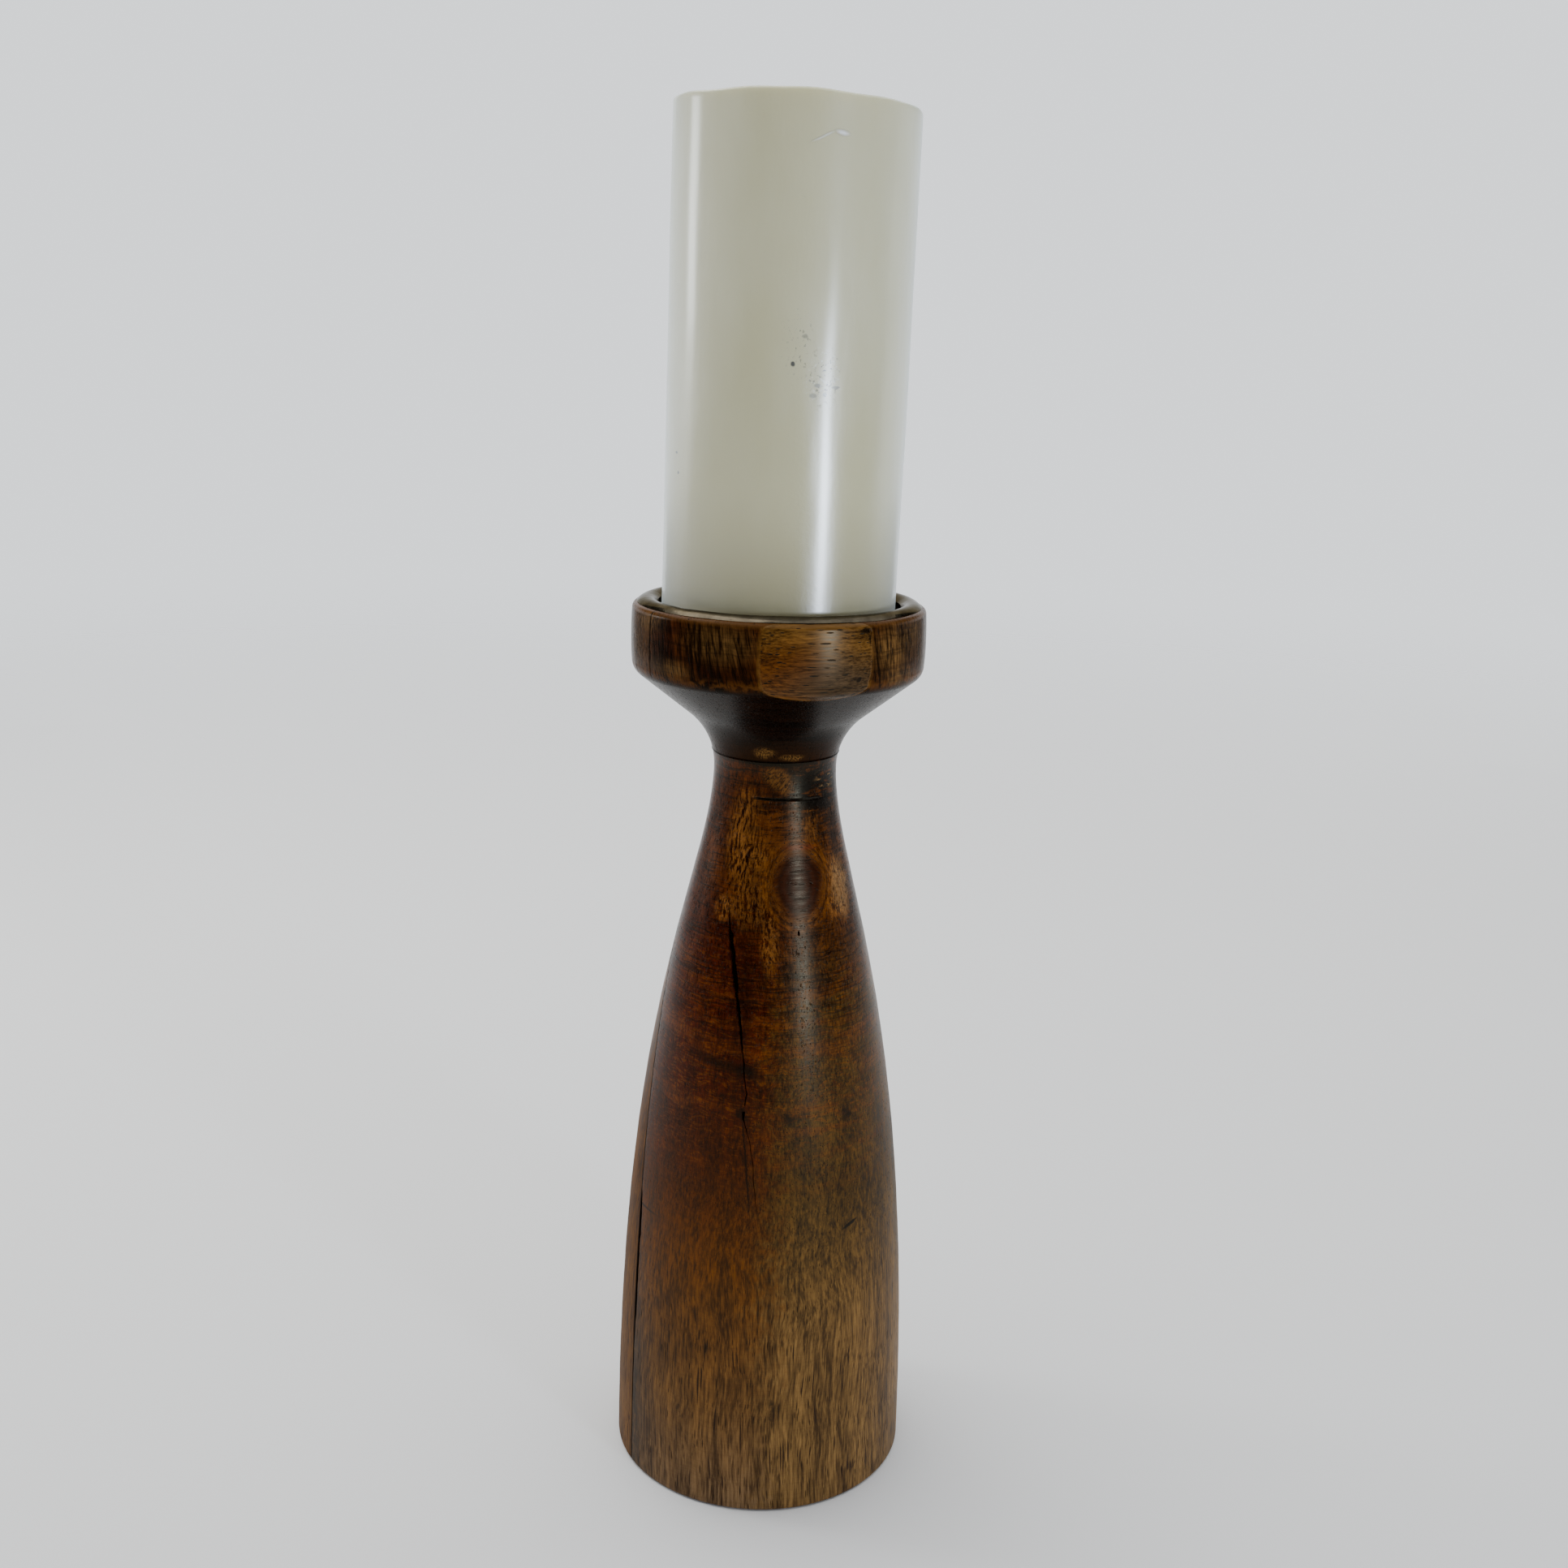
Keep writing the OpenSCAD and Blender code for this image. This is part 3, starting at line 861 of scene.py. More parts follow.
def by_height(g, band, waver, *stops):
    """A colour ramp up the column, 0 at the foot and 1 near the top, wavering by the wood's bands."""
    t = g.math("DIVIDE", g.add(g.z, g.mul(g.sub(band, 0.5), waver)), 255)
    return g.ramp(t, *stops)


def varnished(g, streak, dash, other_height, rough, level, tint=VARNISH):
    """Ends a stained wood: pores sunk into it, and a satin varnish."""
    height = g.mul(streak, 0.35)
    for part in other_height:
        height = g.add(height, part)
    height = g.sub(height, g.mul(dash, 0.8))
    return g.surface(Base_Color=g.deepen(g.colour, STAIN_DEPTH), Roughness=rough,
                     Normal=g.bump(height, GRAIN_DEPTH), Specular_IOR_Level=level, Specular_Tint=tint)


# The column's knot: azimuth, height, half its width and half its height
KNOT_AZ, KNOT_Z, KNOT_U, KNOT_V = 20, 214.5, 8.0, 10.0
# Golden patches: azimuth, height, half width, half height, strength
GOLD_PATCHES = ((-23, 229, 6.5, 15, 0.85), (-12, 208, 7.5, 8, 0.6), (-2, 222, 4, 7, 0.45),
                (-33, 206, 3.5, 4, 0.7), (0, 196, 3, 9, 0.6), (50, 211, 6, 10, 0.75), (33, 233, 3, 5, 0.5))
# Thin rings round the knot: radius, width, strength, colour
KNOT_RINGS = ((1.15, 0.11, 0.3, (116, 74, 32)), (1.3, 0.05, 0.6, (44, 20, 6)),
              (1.45, 0.06, 0.4, (140, 86, 26)))
# Small dark flecks: azimuth, height, half width, half height
FLECKS = ((-10.5, 141, 1.9, 2.4), (10, 140, 2.6, 2), (41, 139, 2.2, 2), (-32, 33, 1.3, 2.2),
          (-19, 146, 3, 1), (5, 38, 1.2, 5), (-10, 155, 3.2, 3))


def column_wood():
    """Stained hardwood, from the grey-brown foot to the dark red shoulder and the mixed neck; the foot's
    grey paleness is partly painted light from the pale floor.
    """
    g = Graph("column_wood")
    column_fields(g)
    column_stain_and_floor_light(g)
    column_waves(g)
    column_knot(g)
    column_neck(g)
    column_marks(g)
    column_pores(g)
    column_lines(g)
    rings = g.mul(g.rings, g.fit(g.z, 150, 185, 0.35, 1.0))
    rough = g.add(g.spread(g.streak, 0.24, 0.36), g.fit(g.z, 175, 110, 0, 0.22))
    rough = g.add(rough, g.mul(g.dash, 0.2))
    return varnished(g, g.streak, g.dash, (rings, g.mul(g.speck, -0.5)), rough, 0.16)


def column_fields(g):
    """The patterns that the column's looks share, kept on the graph."""
    g.fine = g.wobble(g.p, 1 / 7, 0.9)

    # The knot pushes the fibres aside
    g.knot, inside = g.oval(g.fine, KNOT_AZ, KNOT_Z, KNOT_U, KNOT_V, deep=40)
    inside_square = g.math("MAXIMUM", g.mul(g.knot, g.knot), 1.0)
    push = g.math("DIVIDE", g.mul(g.split(inside)[0], -KNOT_U), inside_square)
    a = math.radians(KNOT_AZ)
    p = g.wobble(g.p, 1 / 42, 3.2)
    p = g.vec("ADD", p, g.xyz(g.mul(push, math.cos(a)), g.mul(push, math.sin(a)), 0.0))

    # Long pores near the foot, short ones higher up, where the grain comes out of the surface
    x, y, z = g.split(p)
    rise = g.math("SMOOTH_MAX", g.sub(z, 90), 0.0, 30)
    q = g.xyz(x, y, g.add(z, g.mul(rise, 2.8)))
    g.streak, hair, g.band = grain(g, q, 13)
    g.long_pore = pores(g, q, 26, 0.95, 0.75, 0.12, 0.33)
    g.dash = pores(g, q, 10, 1.3, 0.65, 0.14, 0.34)
    g.speck = pores(g, g.wobble(q, 1 / 5, 0.8), 6, 1.7, 0.6, 0.16, 0.4)
    g.smoke = g.noise(g.fine, 0.32, 4, 0.65)
    g.right = g.fit(g.add(g.x, g.mul(g.sub(g.smoke, 0.5), 30)), -7, 11, smooth=True)
    g.share = paleness(g, g.streak, hair, g.band, 0.55, 0.45, 0.80, 1.16)
    g.foot = g.fit(g.z, 115, 60)
    g.rings = g.noise(g.stretch(g.fine, *RING_SCALE), 1.5, 4, 0.7)
    g.broken = g.fit(g.noise(g.fine, 0.5, 4, 0.7), 0.33, 0.46)
    g.streaky = g.noise(g.stretch(g.fine, 0.24, 0.24, 1), 0.6, 4, 0.7)


def column_stain_and_floor_light(g):
    """Colour by height, paler and greyer towards the foot: partly the stain, partly painted light from the
    pale floor. Cooler and more olive on the right of the middle and the waist.
    """
    deep = by_height(g, g.band, 30, (0.0, (78, 56, 36)), (0.16, (76, 50, 24)), (0.34, (72, 42, 9)),
                     (0.48, (58, 25, 3)), (0.60, (52, 14, 1)), (0.76, (50, 14, 1)), (0.86, (50, 22, 5)),
                     (1.0, (50, 22, 6)))
    pale = by_height(g, g.band, 30, (0.0, (146, 120, 90)), (0.16, (142, 106, 62)), (0.34, (132, 84, 26)),
                     (0.48, (98, 50, 8)), (0.60, (98, 40, 4)), (0.76, (98, 38, 3)), (0.86, (120, 68, 16)),
                     (1.0, (116, 62, 18)))
    g.colour = g.blend(g.share, deep, pale)
    olive_deep = g.blend(g.foot, (46, 34, 12), (78, 56, 30))
    olive_pale = g.blend(g.foot, (110, 84, 36), (154, 122, 76))
    g.paint(g.blend(g.share, olive_deep, olive_pale), g.right, g.fit(g.z, 206, 176, 0.25, 0.85))


def column_waves(g):
    """Light waves and threads across the grain, and turning marks where the stain is dark."""
    curl = g.wobble(g.p, 1 / 16, 4)
    wave = g.noise(g.stretch(curl, 0.12, 0.12, 1), 0.22, 3, 0.55)
    middle = g.fit(g.apart(g.z, 160), 50, 20)
    g.paint(g.blend(g.share, (90, 44, 8), (138, 80, 22)), g.fit(wave, 0.5, 0.62), middle, 0.45)
    thread = g.noise(g.stretch(g.wobble(curl, 1 / 5, 1), 0.22, 0.22, 1), 1.5, 3, 0.6)
    thread = g.mul(g.fit(thread, 0.52, 0.60), g.fit(g.z, 105, 140, 0, 0.55), g.fit(g.z, 205, 190))
    g.paint(g.blend(g.share, (92, 48, 8), (138, 86, 22)), thread)
    g.paint((30, 11, 3), g.fit(g.rings, 0.50, 0.60), g.fit(g.z, 130, 190, 0.08, 0.75))


def column_knot(g):
    """Golden patches between dark lines, and the knot with its rings."""
    gold = g.blend(g.fit(g.share, 0.0, 1.0, 0.3, 0.85), (92, 56, 22), (176, 124, 66))
    lines = g.noise(g.stretch(g.wobble(g.p, 1 / 14, 1.0), 1, 1, 0.05), 1.5, 3, 0.6)
    gold = g.blend(g.fit(lines, 0.50, 0.43), gold, (46, 18, 2))
    for az, z, w, h, much in GOLD_PATCHES:
        g.paint(gold, g.spot(g.fine, az, z, w, h, 0.45, deep=20), much, g.broken)
    collar = g.fit(g.knot, 1.75, 1.3, 0, 0.7, smooth=True)
    g.paint(g.blend(g.share, (78, 42, 10), (138, 90, 36)), collar, g.broken)
    tan = g.spot(g.fine, 58, 211.5, 5, 8.5, 0.5, deep=20)
    g.paint(g.blend(g.share, (104, 78, 46), (186, 150, 104)), tan, g.broken, 0.55)
    ring = g.fit(g.math("SINE", g.mul(g.knot, 17)), -1, 1, 0, 0.6)
    g.paint(g.blend(ring, (72, 36, 16), (48, 22, 11)), g.fit(g.knot, 1.26, 0.74, smooth=True))
    for radius, width, much, paint in KNOT_RINGS:
        line = g.fit(g.apart(g.knot, radius), width, width * 0.2, 0, much)
        g.paint(paint, line, g.fit(g.smoke, 0.36, 0.52))
    g.paint((140, 76, 44), g.spot(g.fine, 22, 226.5, 5.5, 0.9, 0.6), 0.45)


def column_neck(g):
    """Level bands above the knot, dark blotches right of the neck line, and the pale figure in the neck."""
    level = g.noise(g.stretch(g.fine, 0.14, 0.14, 1), 0.55, 4, 0.65)
    level = g.blend(g.fit(level, 0.46, 0.56), (34, 13, 3), (116, 70, 28))
    g.paint(level, g.spot(g.fine, -2, 234, 7, 9), 0.6)
    g.paint((20, 11, 9), g.spot(g.fine, 43, 245.5, 14, 9.5, 0.45, deep=20), g.fit(g.streaky, 0.41, 0.47))
    g.paint((28, 15, 10), g.spot(g.fine, 58, 231, 5, 6), g.fit(g.streaky, 0.44, 0.52, 0, 0.6))
    figure = g.noise(g.map(g.p, turn=(0, 38, 0), scale=(0.8, 1, 3.2)), 0.8, 3, 0.65, 1.1)
    figure = g.blend(g.fit(g.apart(figure, 0.5), 0.015, 0.06), (38, 16, 5), (122, 84, 40))
    g.paint(figure, g.spot(g.wobble(g.p, 1 / 4, 2.2), 4, 248.2, 5.6, 3.4, 0.35, tilt=30), g.broken)
    g.paint((140, 110, 70), g.spot(g.fine, 55, 247, 5, 4), g.fit(g.streaky, 0.55, 0.62))


def column_marks(g):
    """Smudge, stain and flecks round the crack, the crack's hairline foot, and a scratch."""
    g.paint((24, 8, 3), g.spot(g.fine, -22, 156.5, 11, 1.8, 0.7, tilt=10), 0.7)
    g.paint((30, 9, 3), g.spot(g.fine, -14, 177, 3.2, 36, 0.8), 0.45)
    for az, z, w, h in FLECKS:
        g.paint((30, 14, 8), g.spot(g.fine, az, z, w, h, 0.6), g.fit(g.smoke, 0.38, 0.55), 0.8)
    g.paint((34, 12, 4), g.spot(g.wobble(g.p, 0.4, 0.5), -8, 124, 0.32, 17, tilt=-6.5), 0.85)
    g.paint((20, 10, 5), g.spot(g.wobble(g.p, 0.5, 0.2), 38.5, 100.8, 3.2, 0.6, 0.4, tilt=-20))


def column_pores(g):
    """Long purple-brown pores in the foot, dashes on the right, specks in the middle."""
    purple = g.blend(g.fit(g.z, 60, 0), (46, 26, 10), (50, 26, 22))
    g.paint(purple, g.long_pore, g.foot, 0.95)
    dash_share = g.math("MAXIMUM", g.foot, g.fit(g.right, 0, 1, 0.35, 0.9))
    g.paint((36, 18, 6), g.dash, dash_share, 0.8)
    g.paint((34, 15, 4), g.speck, g.fit(g.z, 60, 120), g.fit(g.right, 0, 1, 0.6, 0.9))


def column_lines(g):
    """Dirt along the glue line, the level line beside it, the joint and the cut line in the neck."""
    line, d = seam_line(g, SIDE_SEAM_ANGLE, SIDE_SEAM_D, 0.5)
    dirt = g.mul(g.fit(d, -7, -1, smooth=True), g.fit(g.z, 80, 40, 0.1, 0.8))
    g.paint((38, 25, 15), dirt, g.fit(g.smoke, 0.3, 0.6, 0.4, 1))
    g.paint((16, 9, 5), line, 0.9)
    g.paint((24, 14, 8), g.spot(g.p, -60, 98.5, 7, 0.35, 0.6), 0.8)
    g.paint(GROOVE_DARK, g.fit(g.z, JOINT_Z - 1.3, JOINT_Z - 0.3), g.fit(g.streaky, 0.38, 0.52, 0.1, 0.7))
    ragged_edge = g.wobble(g.p, 1 / 4, 0.3)
    g.paint(GROOVE_DARK, g.spot(ragged_edge, 2, JOINT_Z - 0.5, 11, 1.0), 0.9)
    g.paint((14, 7, 4), g.spot(ragged_edge, 2, NECK_LINE_Z, 7.5, 0.55, 0.4))


def side_wood():
    """The column's second board: the same stain, without the knot."""
    g = Graph("side_board_wood")
    p = g.wobble(g.map(g.p, (13, 7, 90)), 1 / 40, 3)
    streak, hair, band = grain(g, p, 15)
    long_pore = pores(g, p, 14, 0.72, 0.6, 0.13, 0.33)
    dash = pores(g, p, 5, 1.1, 0.6)
    # Paler and greyer towards the foot: partly the stain, partly painted light from the pale floor
    deep = by_height(g, band, 40, (0.0, (74, 50, 28)), (0.4, (70, 42, 14)), (1.0, (50, 22, 5)))
    pale = by_height(g, band, 40, (0.0, (142, 108, 70)), (0.4, (132, 92, 44)), (1.0, (108, 62, 20)))
    g.colour = g.blend(paleness(g, streak, hair, band, 0.55, 0.45, 0.80, 1.16), deep, pale)
    rings = g.noise(g.stretch(g.p, *RING_SCALE), 1.5, 4, 0.7)
    g.paint((30, 12, 4), g.fit(rings, 0.50, 0.60), g.fit(g.z, 130, 190, 0.08, 0.6))
    g.paint((48, 27, 18), long_pore, g.fit(g.z, 115, 60, 0, 0.85))
    g.paint((38, 19, 8), dash, 0.6)
    line, _ = seam_line(g, SIDE_SEAM_ANGLE, SIDE_SEAM_D, 0.4)
    g.paint((20, 11, 6), line, 0.85)
    g.paint(GROOVE_DARK, g.fit(g.z, JOINT_Z - 0.8, JOINT_Z - 0.2), 0.7)
    rough = g.add(g.spread(streak, 0.24, 0.36), g.fit(g.z, 175, 110, 0, 0.3))
    return varnished(g, streak, dash, (), rough, 0.08)


# Paler gold patches in the cup's boards: azimuth, height, half width, half height
CUP_GOLD = ((-22, 296, 11, 6), (48, 294, 10, 8), (-45, 286, 8, 3), (54, 284, 8, 3), (-60, 300, 9, 3),
            (64, 298, 9, 4))
CUP_BARE = ((-9, 257.6, 3.2, 1.8), (14, 256, 3.6, 1.1))
CUP_DUST_AND_SHEEN = ((-72, 13), (80, 14))  # azimuth and half width of the grey side patches: dust and a painted reflection
MIDDLE_SEAMS = (FRONT_SEAM_D - BOARD_T, FRONT_SEAM_D - 2 * BOARD_T)
SLAB_SEAMS = (FRONT_SEAM_D, FRONT_SEAM_D - 3 * BOARD_T)


def cup_wood(name, offset, warm):
    """Dark upright grain, a little aslant. offset moves the pattern, so neighbouring boards don't match."""
    g = Graph(name)
    p = g.wobble(g.map(g.p, offset, (0, 9, STACK_ANGLE + 90), kind="POINT"), 1 / 30, 2.6)
    fine = g.wobble(g.p, 1 / 6, 0.8)
    streak, hair, band = grain(g, p, 9)
    dash = pores(g, p, 7, 1.0, 0.65, 0.14, 0.36)
    share = paleness(g, streak, hair, band, 0.8, 0.4, 0.93, 1.32)
    g.colour = g.blend(share, (26, 10, 2), (98, 56, 20))
    g.paint(g.blend(share, (28, 8, 1), (80, 32, 8)), g.fit(g.noise(fine, 0.06, 2), 0.4, 0.62, 0, 0.7))
    g.paint(g.blend(share, (40, 22, 8), (138, 94, 42)), warm)
    gold = g.blend(share, (50, 34, 16), (146, 114, 70))
    for az, z, w, h in CUP_GOLD:
        g.paint(gold, g.spot(fine, az, z, w, h, 0.7, deep=20), 0.8)
    wall = g.fit(g.z, CORNER_Z, CORNER_Z + 4, 0.0, 0.9)
    level = g.noise(g.stretch(fine, 0.05, 0.05, 1), 0.9, 4, 0.65)
    g.paint((24, 10, 3), g.fit(level, 0.5, 0.6), 0.35)

    # The dark underside: painted shade, less deep by the joint, with bare patches by the joint
    underside_shade = g.blend(g.fit(level, 0.42, 0.6), (8, 4, 2), (34, 20, 10))
    underside_shade = g.blend(g.fit(g.z, JOINT_Z + 9, JOINT_Z, 0, 0.5), underside_shade, (76, 46, 20))
    g.paint(underside_shade, g.fit(g.add(g.z, g.mul(level, 3)), CORNER_Z + 4, CORNER_Z, 0, 0.93, smooth=True))
    for az, z, w, h in CUP_BARE:
        g.paint((126, 94, 52), g.spot(fine, az, z, w, h), g.fit(hair, 0.42, 0.55))

    # Grey at both sides, partly dust and partly a painted reflection of the bright surround; and worn edges
    dust_and_sheen = g.blend(g.fit(hair, 0.4, 0.6), (58, 44, 33), (114, 96, 78))
    for az, w in CUP_DUST_AND_SHEEN:
        g.paint(dust_and_sheen, g.spot(fine, az, 288, w, 16, 0.8, deep=24), wall, 0.95)
    g.paint((112, 78, 40), rim_wear(g, fine, 0.7))
    corner = g.fit(g.apart(g.z, CORNER_Z + 1.5), 2.4, 0.3, 0, 0.7)
    g.paint((112, 74, 34), corner, g.fit(g.noise(fine, 0.4), 0.43, 0.56))
    g.paint((22, 9, 3), dash, 0.85)
    for distance in MIDDLE_SEAMS:
        g.paint(GROOVE_DARK, seam_line(g, STACK_ANGLE, distance, 0.45)[0], wall)
    broken = g.fit(g.noise(g.p, 0.3, 3, 0.7), 0.4, 0.6, 0.25, 0.85)
    for distance in SLAB_SEAMS:
        g.paint((120, 86, 42), seam_line(g, STACK_ANGLE, distance, 0.4)[0], broken)
    g.paint(GROOVE_DARK, g.fit(g.z, JOINT_Z + 0.8, JOINT_Z + 0.2), g.fit(level, 0.38, 0.52, 0.1, 0.7))
    rough = g.add(g.spread(streak, 0.22, 0.34), g.mul(dash, 0.2))
    return varnished(g, streak, dash, (g.mul(level, 0.3),), rough, 0.06, CUP_VARNISH)


# Small dark marks on the front slab: azimuth, height, half width, half height
SLAB_MARKS = ((34, 300.6, 2.2, 0.8), (36, 298, 0.8, 2.0), (31, 286, 0.9, 0.7), (30, 281, 0.8, 0.5))


def slab_wood(name, offset):
    """Level grain of the thin slabs left at the front and back of the cup."""
    g = Graph(name)
    fine = g.wobble(g.p, 1 / 6, 0.7)
    x, y, z = g.split(g.wobble(g.map(g.p, offset, (0, 0, -STACK_ANGLE - 90), kind="POINT"), 1 / 26, 0.8))
    p = g.xyz(y, z, x)
    streak, hair, band = grain(g, p, 20, 1.3)
    dash = pores(g, p, 8, 1.2, 0.7, 0.16, 0.38)
    share = paleness(g, streak, hair, band, 0.6, 0.4, 0.76, 1.20)
    g.colour = g.blend(share, (58, 37, 13), (146, 108, 56))
    g.paint(g.blend(share, (60, 30, 6), (134, 80, 24)), g.spot(fine, 3, 288, 12, 8, 0.7), 0.85)
    # Painted sheen: greyer round the window's highlight on the front slab
    g.paint(g.blend(share, (42, 30, 20), (98, 82, 66)), g.spot(fine, 24, 284, 16, 8, 0.7), 0.7)
    g.paint((126, 92, 46), rim_wear(g, fine, 0.6))
    g.paint((20, 9, 3), dash, 0.95)
    ragged_edge = g.wobble(fine, 0.6, 1.2)
    for az, z, w, h in SLAB_MARKS:
        g.paint((18, 9, 5), g.spot(ragged_edge, az, z, w, h), 0.85)
    broken = g.fit(g.noise(g.p, 0.3, 3, 0.7), 0.4, 0.6, 0.3, 0.85)
    for distance in SLAB_SEAMS:
        g.paint((126, 90, 44), seam_line(g, STACK_ANGLE, distance, 0.25)[0], broken)
    rough = g.add(g.spread(streak, 0.22, 0.34), g.mul(dash, 0.2))
    return varnished(g, streak, dash, (), rough, 0.155)


def raw_wood():
    """Unfinished faces inside the joints and recesses."""
    g = Graph("raw_wood")
    streak, hair, band = grain(g, g.wobble(g.p, 1 / 40, 3), 12)
    share = g.fit(g.add(streak, g.mul(band, 0.6)), 0.6, 1.1)
    colour = g.blend(share, (128, 92, 56), (188, 150, 104))
    return g.surface(Base_Color=colour, Roughness=g.spread(streak, 0.7, 0.85), Normal=g.bump(hair, 0.05))


def crack_wood():
    """The dark walls of the cracks and the open glue line: painted shade deep inside them."""
    g = Graph("crack_wood")
    streak, hair, _ = grain(g, g.p, 8)
    colour = g.blend(streak, (10, 6, 5), (40, 24, 15))
    return g.surface(Base_Color=colour, Roughness=g.spread(hair, 0.75, 0.95), Normal=g.bump(streak, 0.08))


def dowel_wood():
    g = Graph("dowel_wood")
    streak, hair, _ = grain(g, g.p, 16)
    g.colour = g.blend(g.spread(streak), (176, 138, 92), (218, 184, 136))
    g.paint((120, 84, 52), pores(g, g.p, 10, 0.8, 0.5), 0.5)
    return g.surface(Base_Color=g.colour, Roughness=g.spread(hair, 0.5, 0.65), Normal=g.bump(streak, 0.04))


# ---------- other materials ----------

def dish_metal():
    """Dark bronze lacquer on pressed steel, rubbed and a little spotted."""
    g = Graph("dish_metal")
    fine = g.wobble(g.p, 1 / 5, 0.6)
    cloud = g.noise(fine, 0.12, 4, 0.6)
    spots = g.noise(fine, 1.4, 3, 0.7)
    g.colour = g.blend(g.fit(cloud, 0.35, 0.65), (62, 55, 45), (92, 84, 69))
    g.paint((116, 107, 94), g.fit(g.z, RIM_Z + 1.0, RIM_Z + 1.75, 0, 0.45), g.fit(spots, 0.4, 0.6))
    g.paint((26, 20, 14), g.fit(spots, 0.62, 0.72, 0, 0.6))
    return g.surface(Base_Color=g.colour, Metallic=0.9, Roughness=g.spread(spots, 0.1, 0.2),
                     Normal=g.bump(cloud, 0.12), Specular_Tint=(0.4, 0.38, 0.34, 1.0))


# Dark chips in the candle's wall: azimuth, height, half width, half height, strength
CHIPS = ((-60.6, 351, 0.6, 0.45, 1.0), (-58.4, 345, 0.55, 0.45, 1.0), (3, 378.5, 0.55, 0.8, 1.0),
         (8, 386.5, 0.8, 0.6, 0.45), (14.5, 372.5, 0.9, 0.6, 0.65), (12.5, 369.5, 1.1, 0.7, 0.55),
         (18, 370, 0.5, 0.7, 0.8), (23, 372, 1.3, 0.45, 0.65))
WAX_ROUGH = 0.29  # the wall's least roughness


def wax():
    """Ivory wax: milky, with scuffs, pits and soot round the wick; painted shade low down by the dish, and
    painted highlights at the worn place and on the nick.
    """
    g = Graph("wax")
    fine = g.wobble(g.p, 1 / 9, 1.2)
    cloud = g.noise(g.stretch(fine, 1, 1, 0.4), 0.045, 3, 0.5)
    g.colour = g.blend(g.spread(cloud), (203, 196, 149), (213, 207, 167))
    # Painted shade: darker and greener low down, towards the dish
    g.paint((160, 150, 110), g.fit(g.z, 345, 302, 0, 0.85, smooth=True))
    speckle = g.noise(fine, 0.9, 4, 0.7)
    g.paint((186, 176, 146), g.fit(speckle, 0.66, 0.78, 0, 0.25))

    # Pits and chips at the worn place with painted highlight flecks, and the nick under the rim with a
    # painted highlight
    wear_and_glints = g.spot(fine, 17, 375, 4.5, 7, 0.6)
    loose = g.spot(fine, 5, 384, 4, 9, 0.6)
    pits = g.mul(g.fit(g.noise(fine, 1.1, 2, 0.6), 0.62, 0.67), g.math("MAXIMUM", wear_and_glints, g.mul(loose, 0.6)))
    g.paint((84, 80, 68), pits, 0.8)
    chip_edge = g.wobble(g.p, 0.5, 0.4)
    for az, z, w, h, much in CHIPS:
        g.paint((62, 58, 46), g.spot(chip_edge, az, z, w, h, 0.35), much)
    # Painted highlight: near-white flecks in the worn place
    g.paint((248, 250, 246), wear_and_glints, g.fit(speckle, 0.44, 0.38, 0, 0.6))
    nick_edge = g.wobble(g.p, 0.2, 0.4)
    tail = g.spot(nick_edge, 14, 441.8, 3.0, 0.3, 0.7, tilt=-24)
    nick_and_glint = g.math("MAXIMUM", g.spot(nick_edge, 22, 443, 1.8, 0.7, 0.6, tilt=8), g.mul(tail, 0.6))
    # Painted highlight on the nick; the same mask also dents it through the bump
    g.paint((255, 255, 252), nick_and_glint)

    # The melt pool is glossy, with soot round the wick
    flat = g.vec("LENGTH", g.stretch(g.p, 1, 1, 0))
    inside = g.fit(flat, CANDLE_R - 2, CANDLE_R - 5)
    pool = g.mul(g.fit(g.z, POOL_FLOOR + 4, POOL_FLOOR + 1), inside)
    g.paint((70, 58, 44), g.fit(flat, 9, 1.5, 0, 0.75, smooth=True), g.fit(g.z, 434, 437))

    dents = g.noise(g.stretch(fine, 1, 1, 0.3), 0.22, 2, 0.5)
    height = g.add(g.mul(cloud, 1.2), g.mul(speckle, 0.18))
    height = g.add(height, g.mul(dents, g.fit(g.z, 350, 400, 0.2, 1.1)))
    height = g.sub(height, g.mul(pits, 1.2))
    height = g.add(height, g.mul(nick_and_glint, 4.0))
    bloom = g.fit(g.add(g.z, g.mul(dents, 22)), 356, 432, 0, 0.3, smooth=True)
    rough = g.sub(g.add(WAX_ROUGH, bloom), g.mul(pool, 0.3), clamp=True)
    return g.surface(Base_Color=g.colour, Roughness=rough, Normal=g.bump(height, 0.25),
                     Subsurface_Weight=0.5, Subsurface_Radius=(1.0, 0.95, 0.8), Subsurface_Scale=0.005,
                     Sheen_Weight=0.8, Sheen_Roughness=0.6, Sheen_Tint=(0.85, 0.95, 1.0, 1.0),
                     Coat_Weight=0.85, Coat_Roughness=0.18, Specular_IOR_Level=1.0)


def charred():
    """Burnt cotton, clean where the wax still covers it."""
    g = Graph("burnt_wick")
    ash = g.noise(g.p, 1.8, 4, 0.7)
    g.colour = g.blend(g.fit(ash, 0.45, 0.65), (24, 20, 18), (84, 76, 68))
    g.paint((206, 196, 168), g.fit(g.z, POOL_FLOOR + 1, POOL_FLOOR - 2))
    return g.surface(Base_Color=g.colour, Roughness=g.spread(ash, 0.8, 0.95), Normal=g.bump(ash, 0.2))


def felt():
    g = Graph("felt")
    fuzz = g.noise(g.p, 2.6, 5, 0.75, 1.5)
    mottled = g.noise(g.p, 0.12, 3)
    g.colour = g.blend(g.fit(fuzz, 0.35, 0.65), (34, 31, 29), (66, 62, 58))
    g.paint((44, 40, 36), g.fit(mottled, 0.4, 0.6, 0, 0.3))
    return g.surface(Base_Color=g.colour, Roughness=g.spread(fuzz, 0.85, 0.97),
                     Normal=g.bump(fuzz, 0.25), Sheen_Weight=0.4, Sheen_Roughness=0.5)


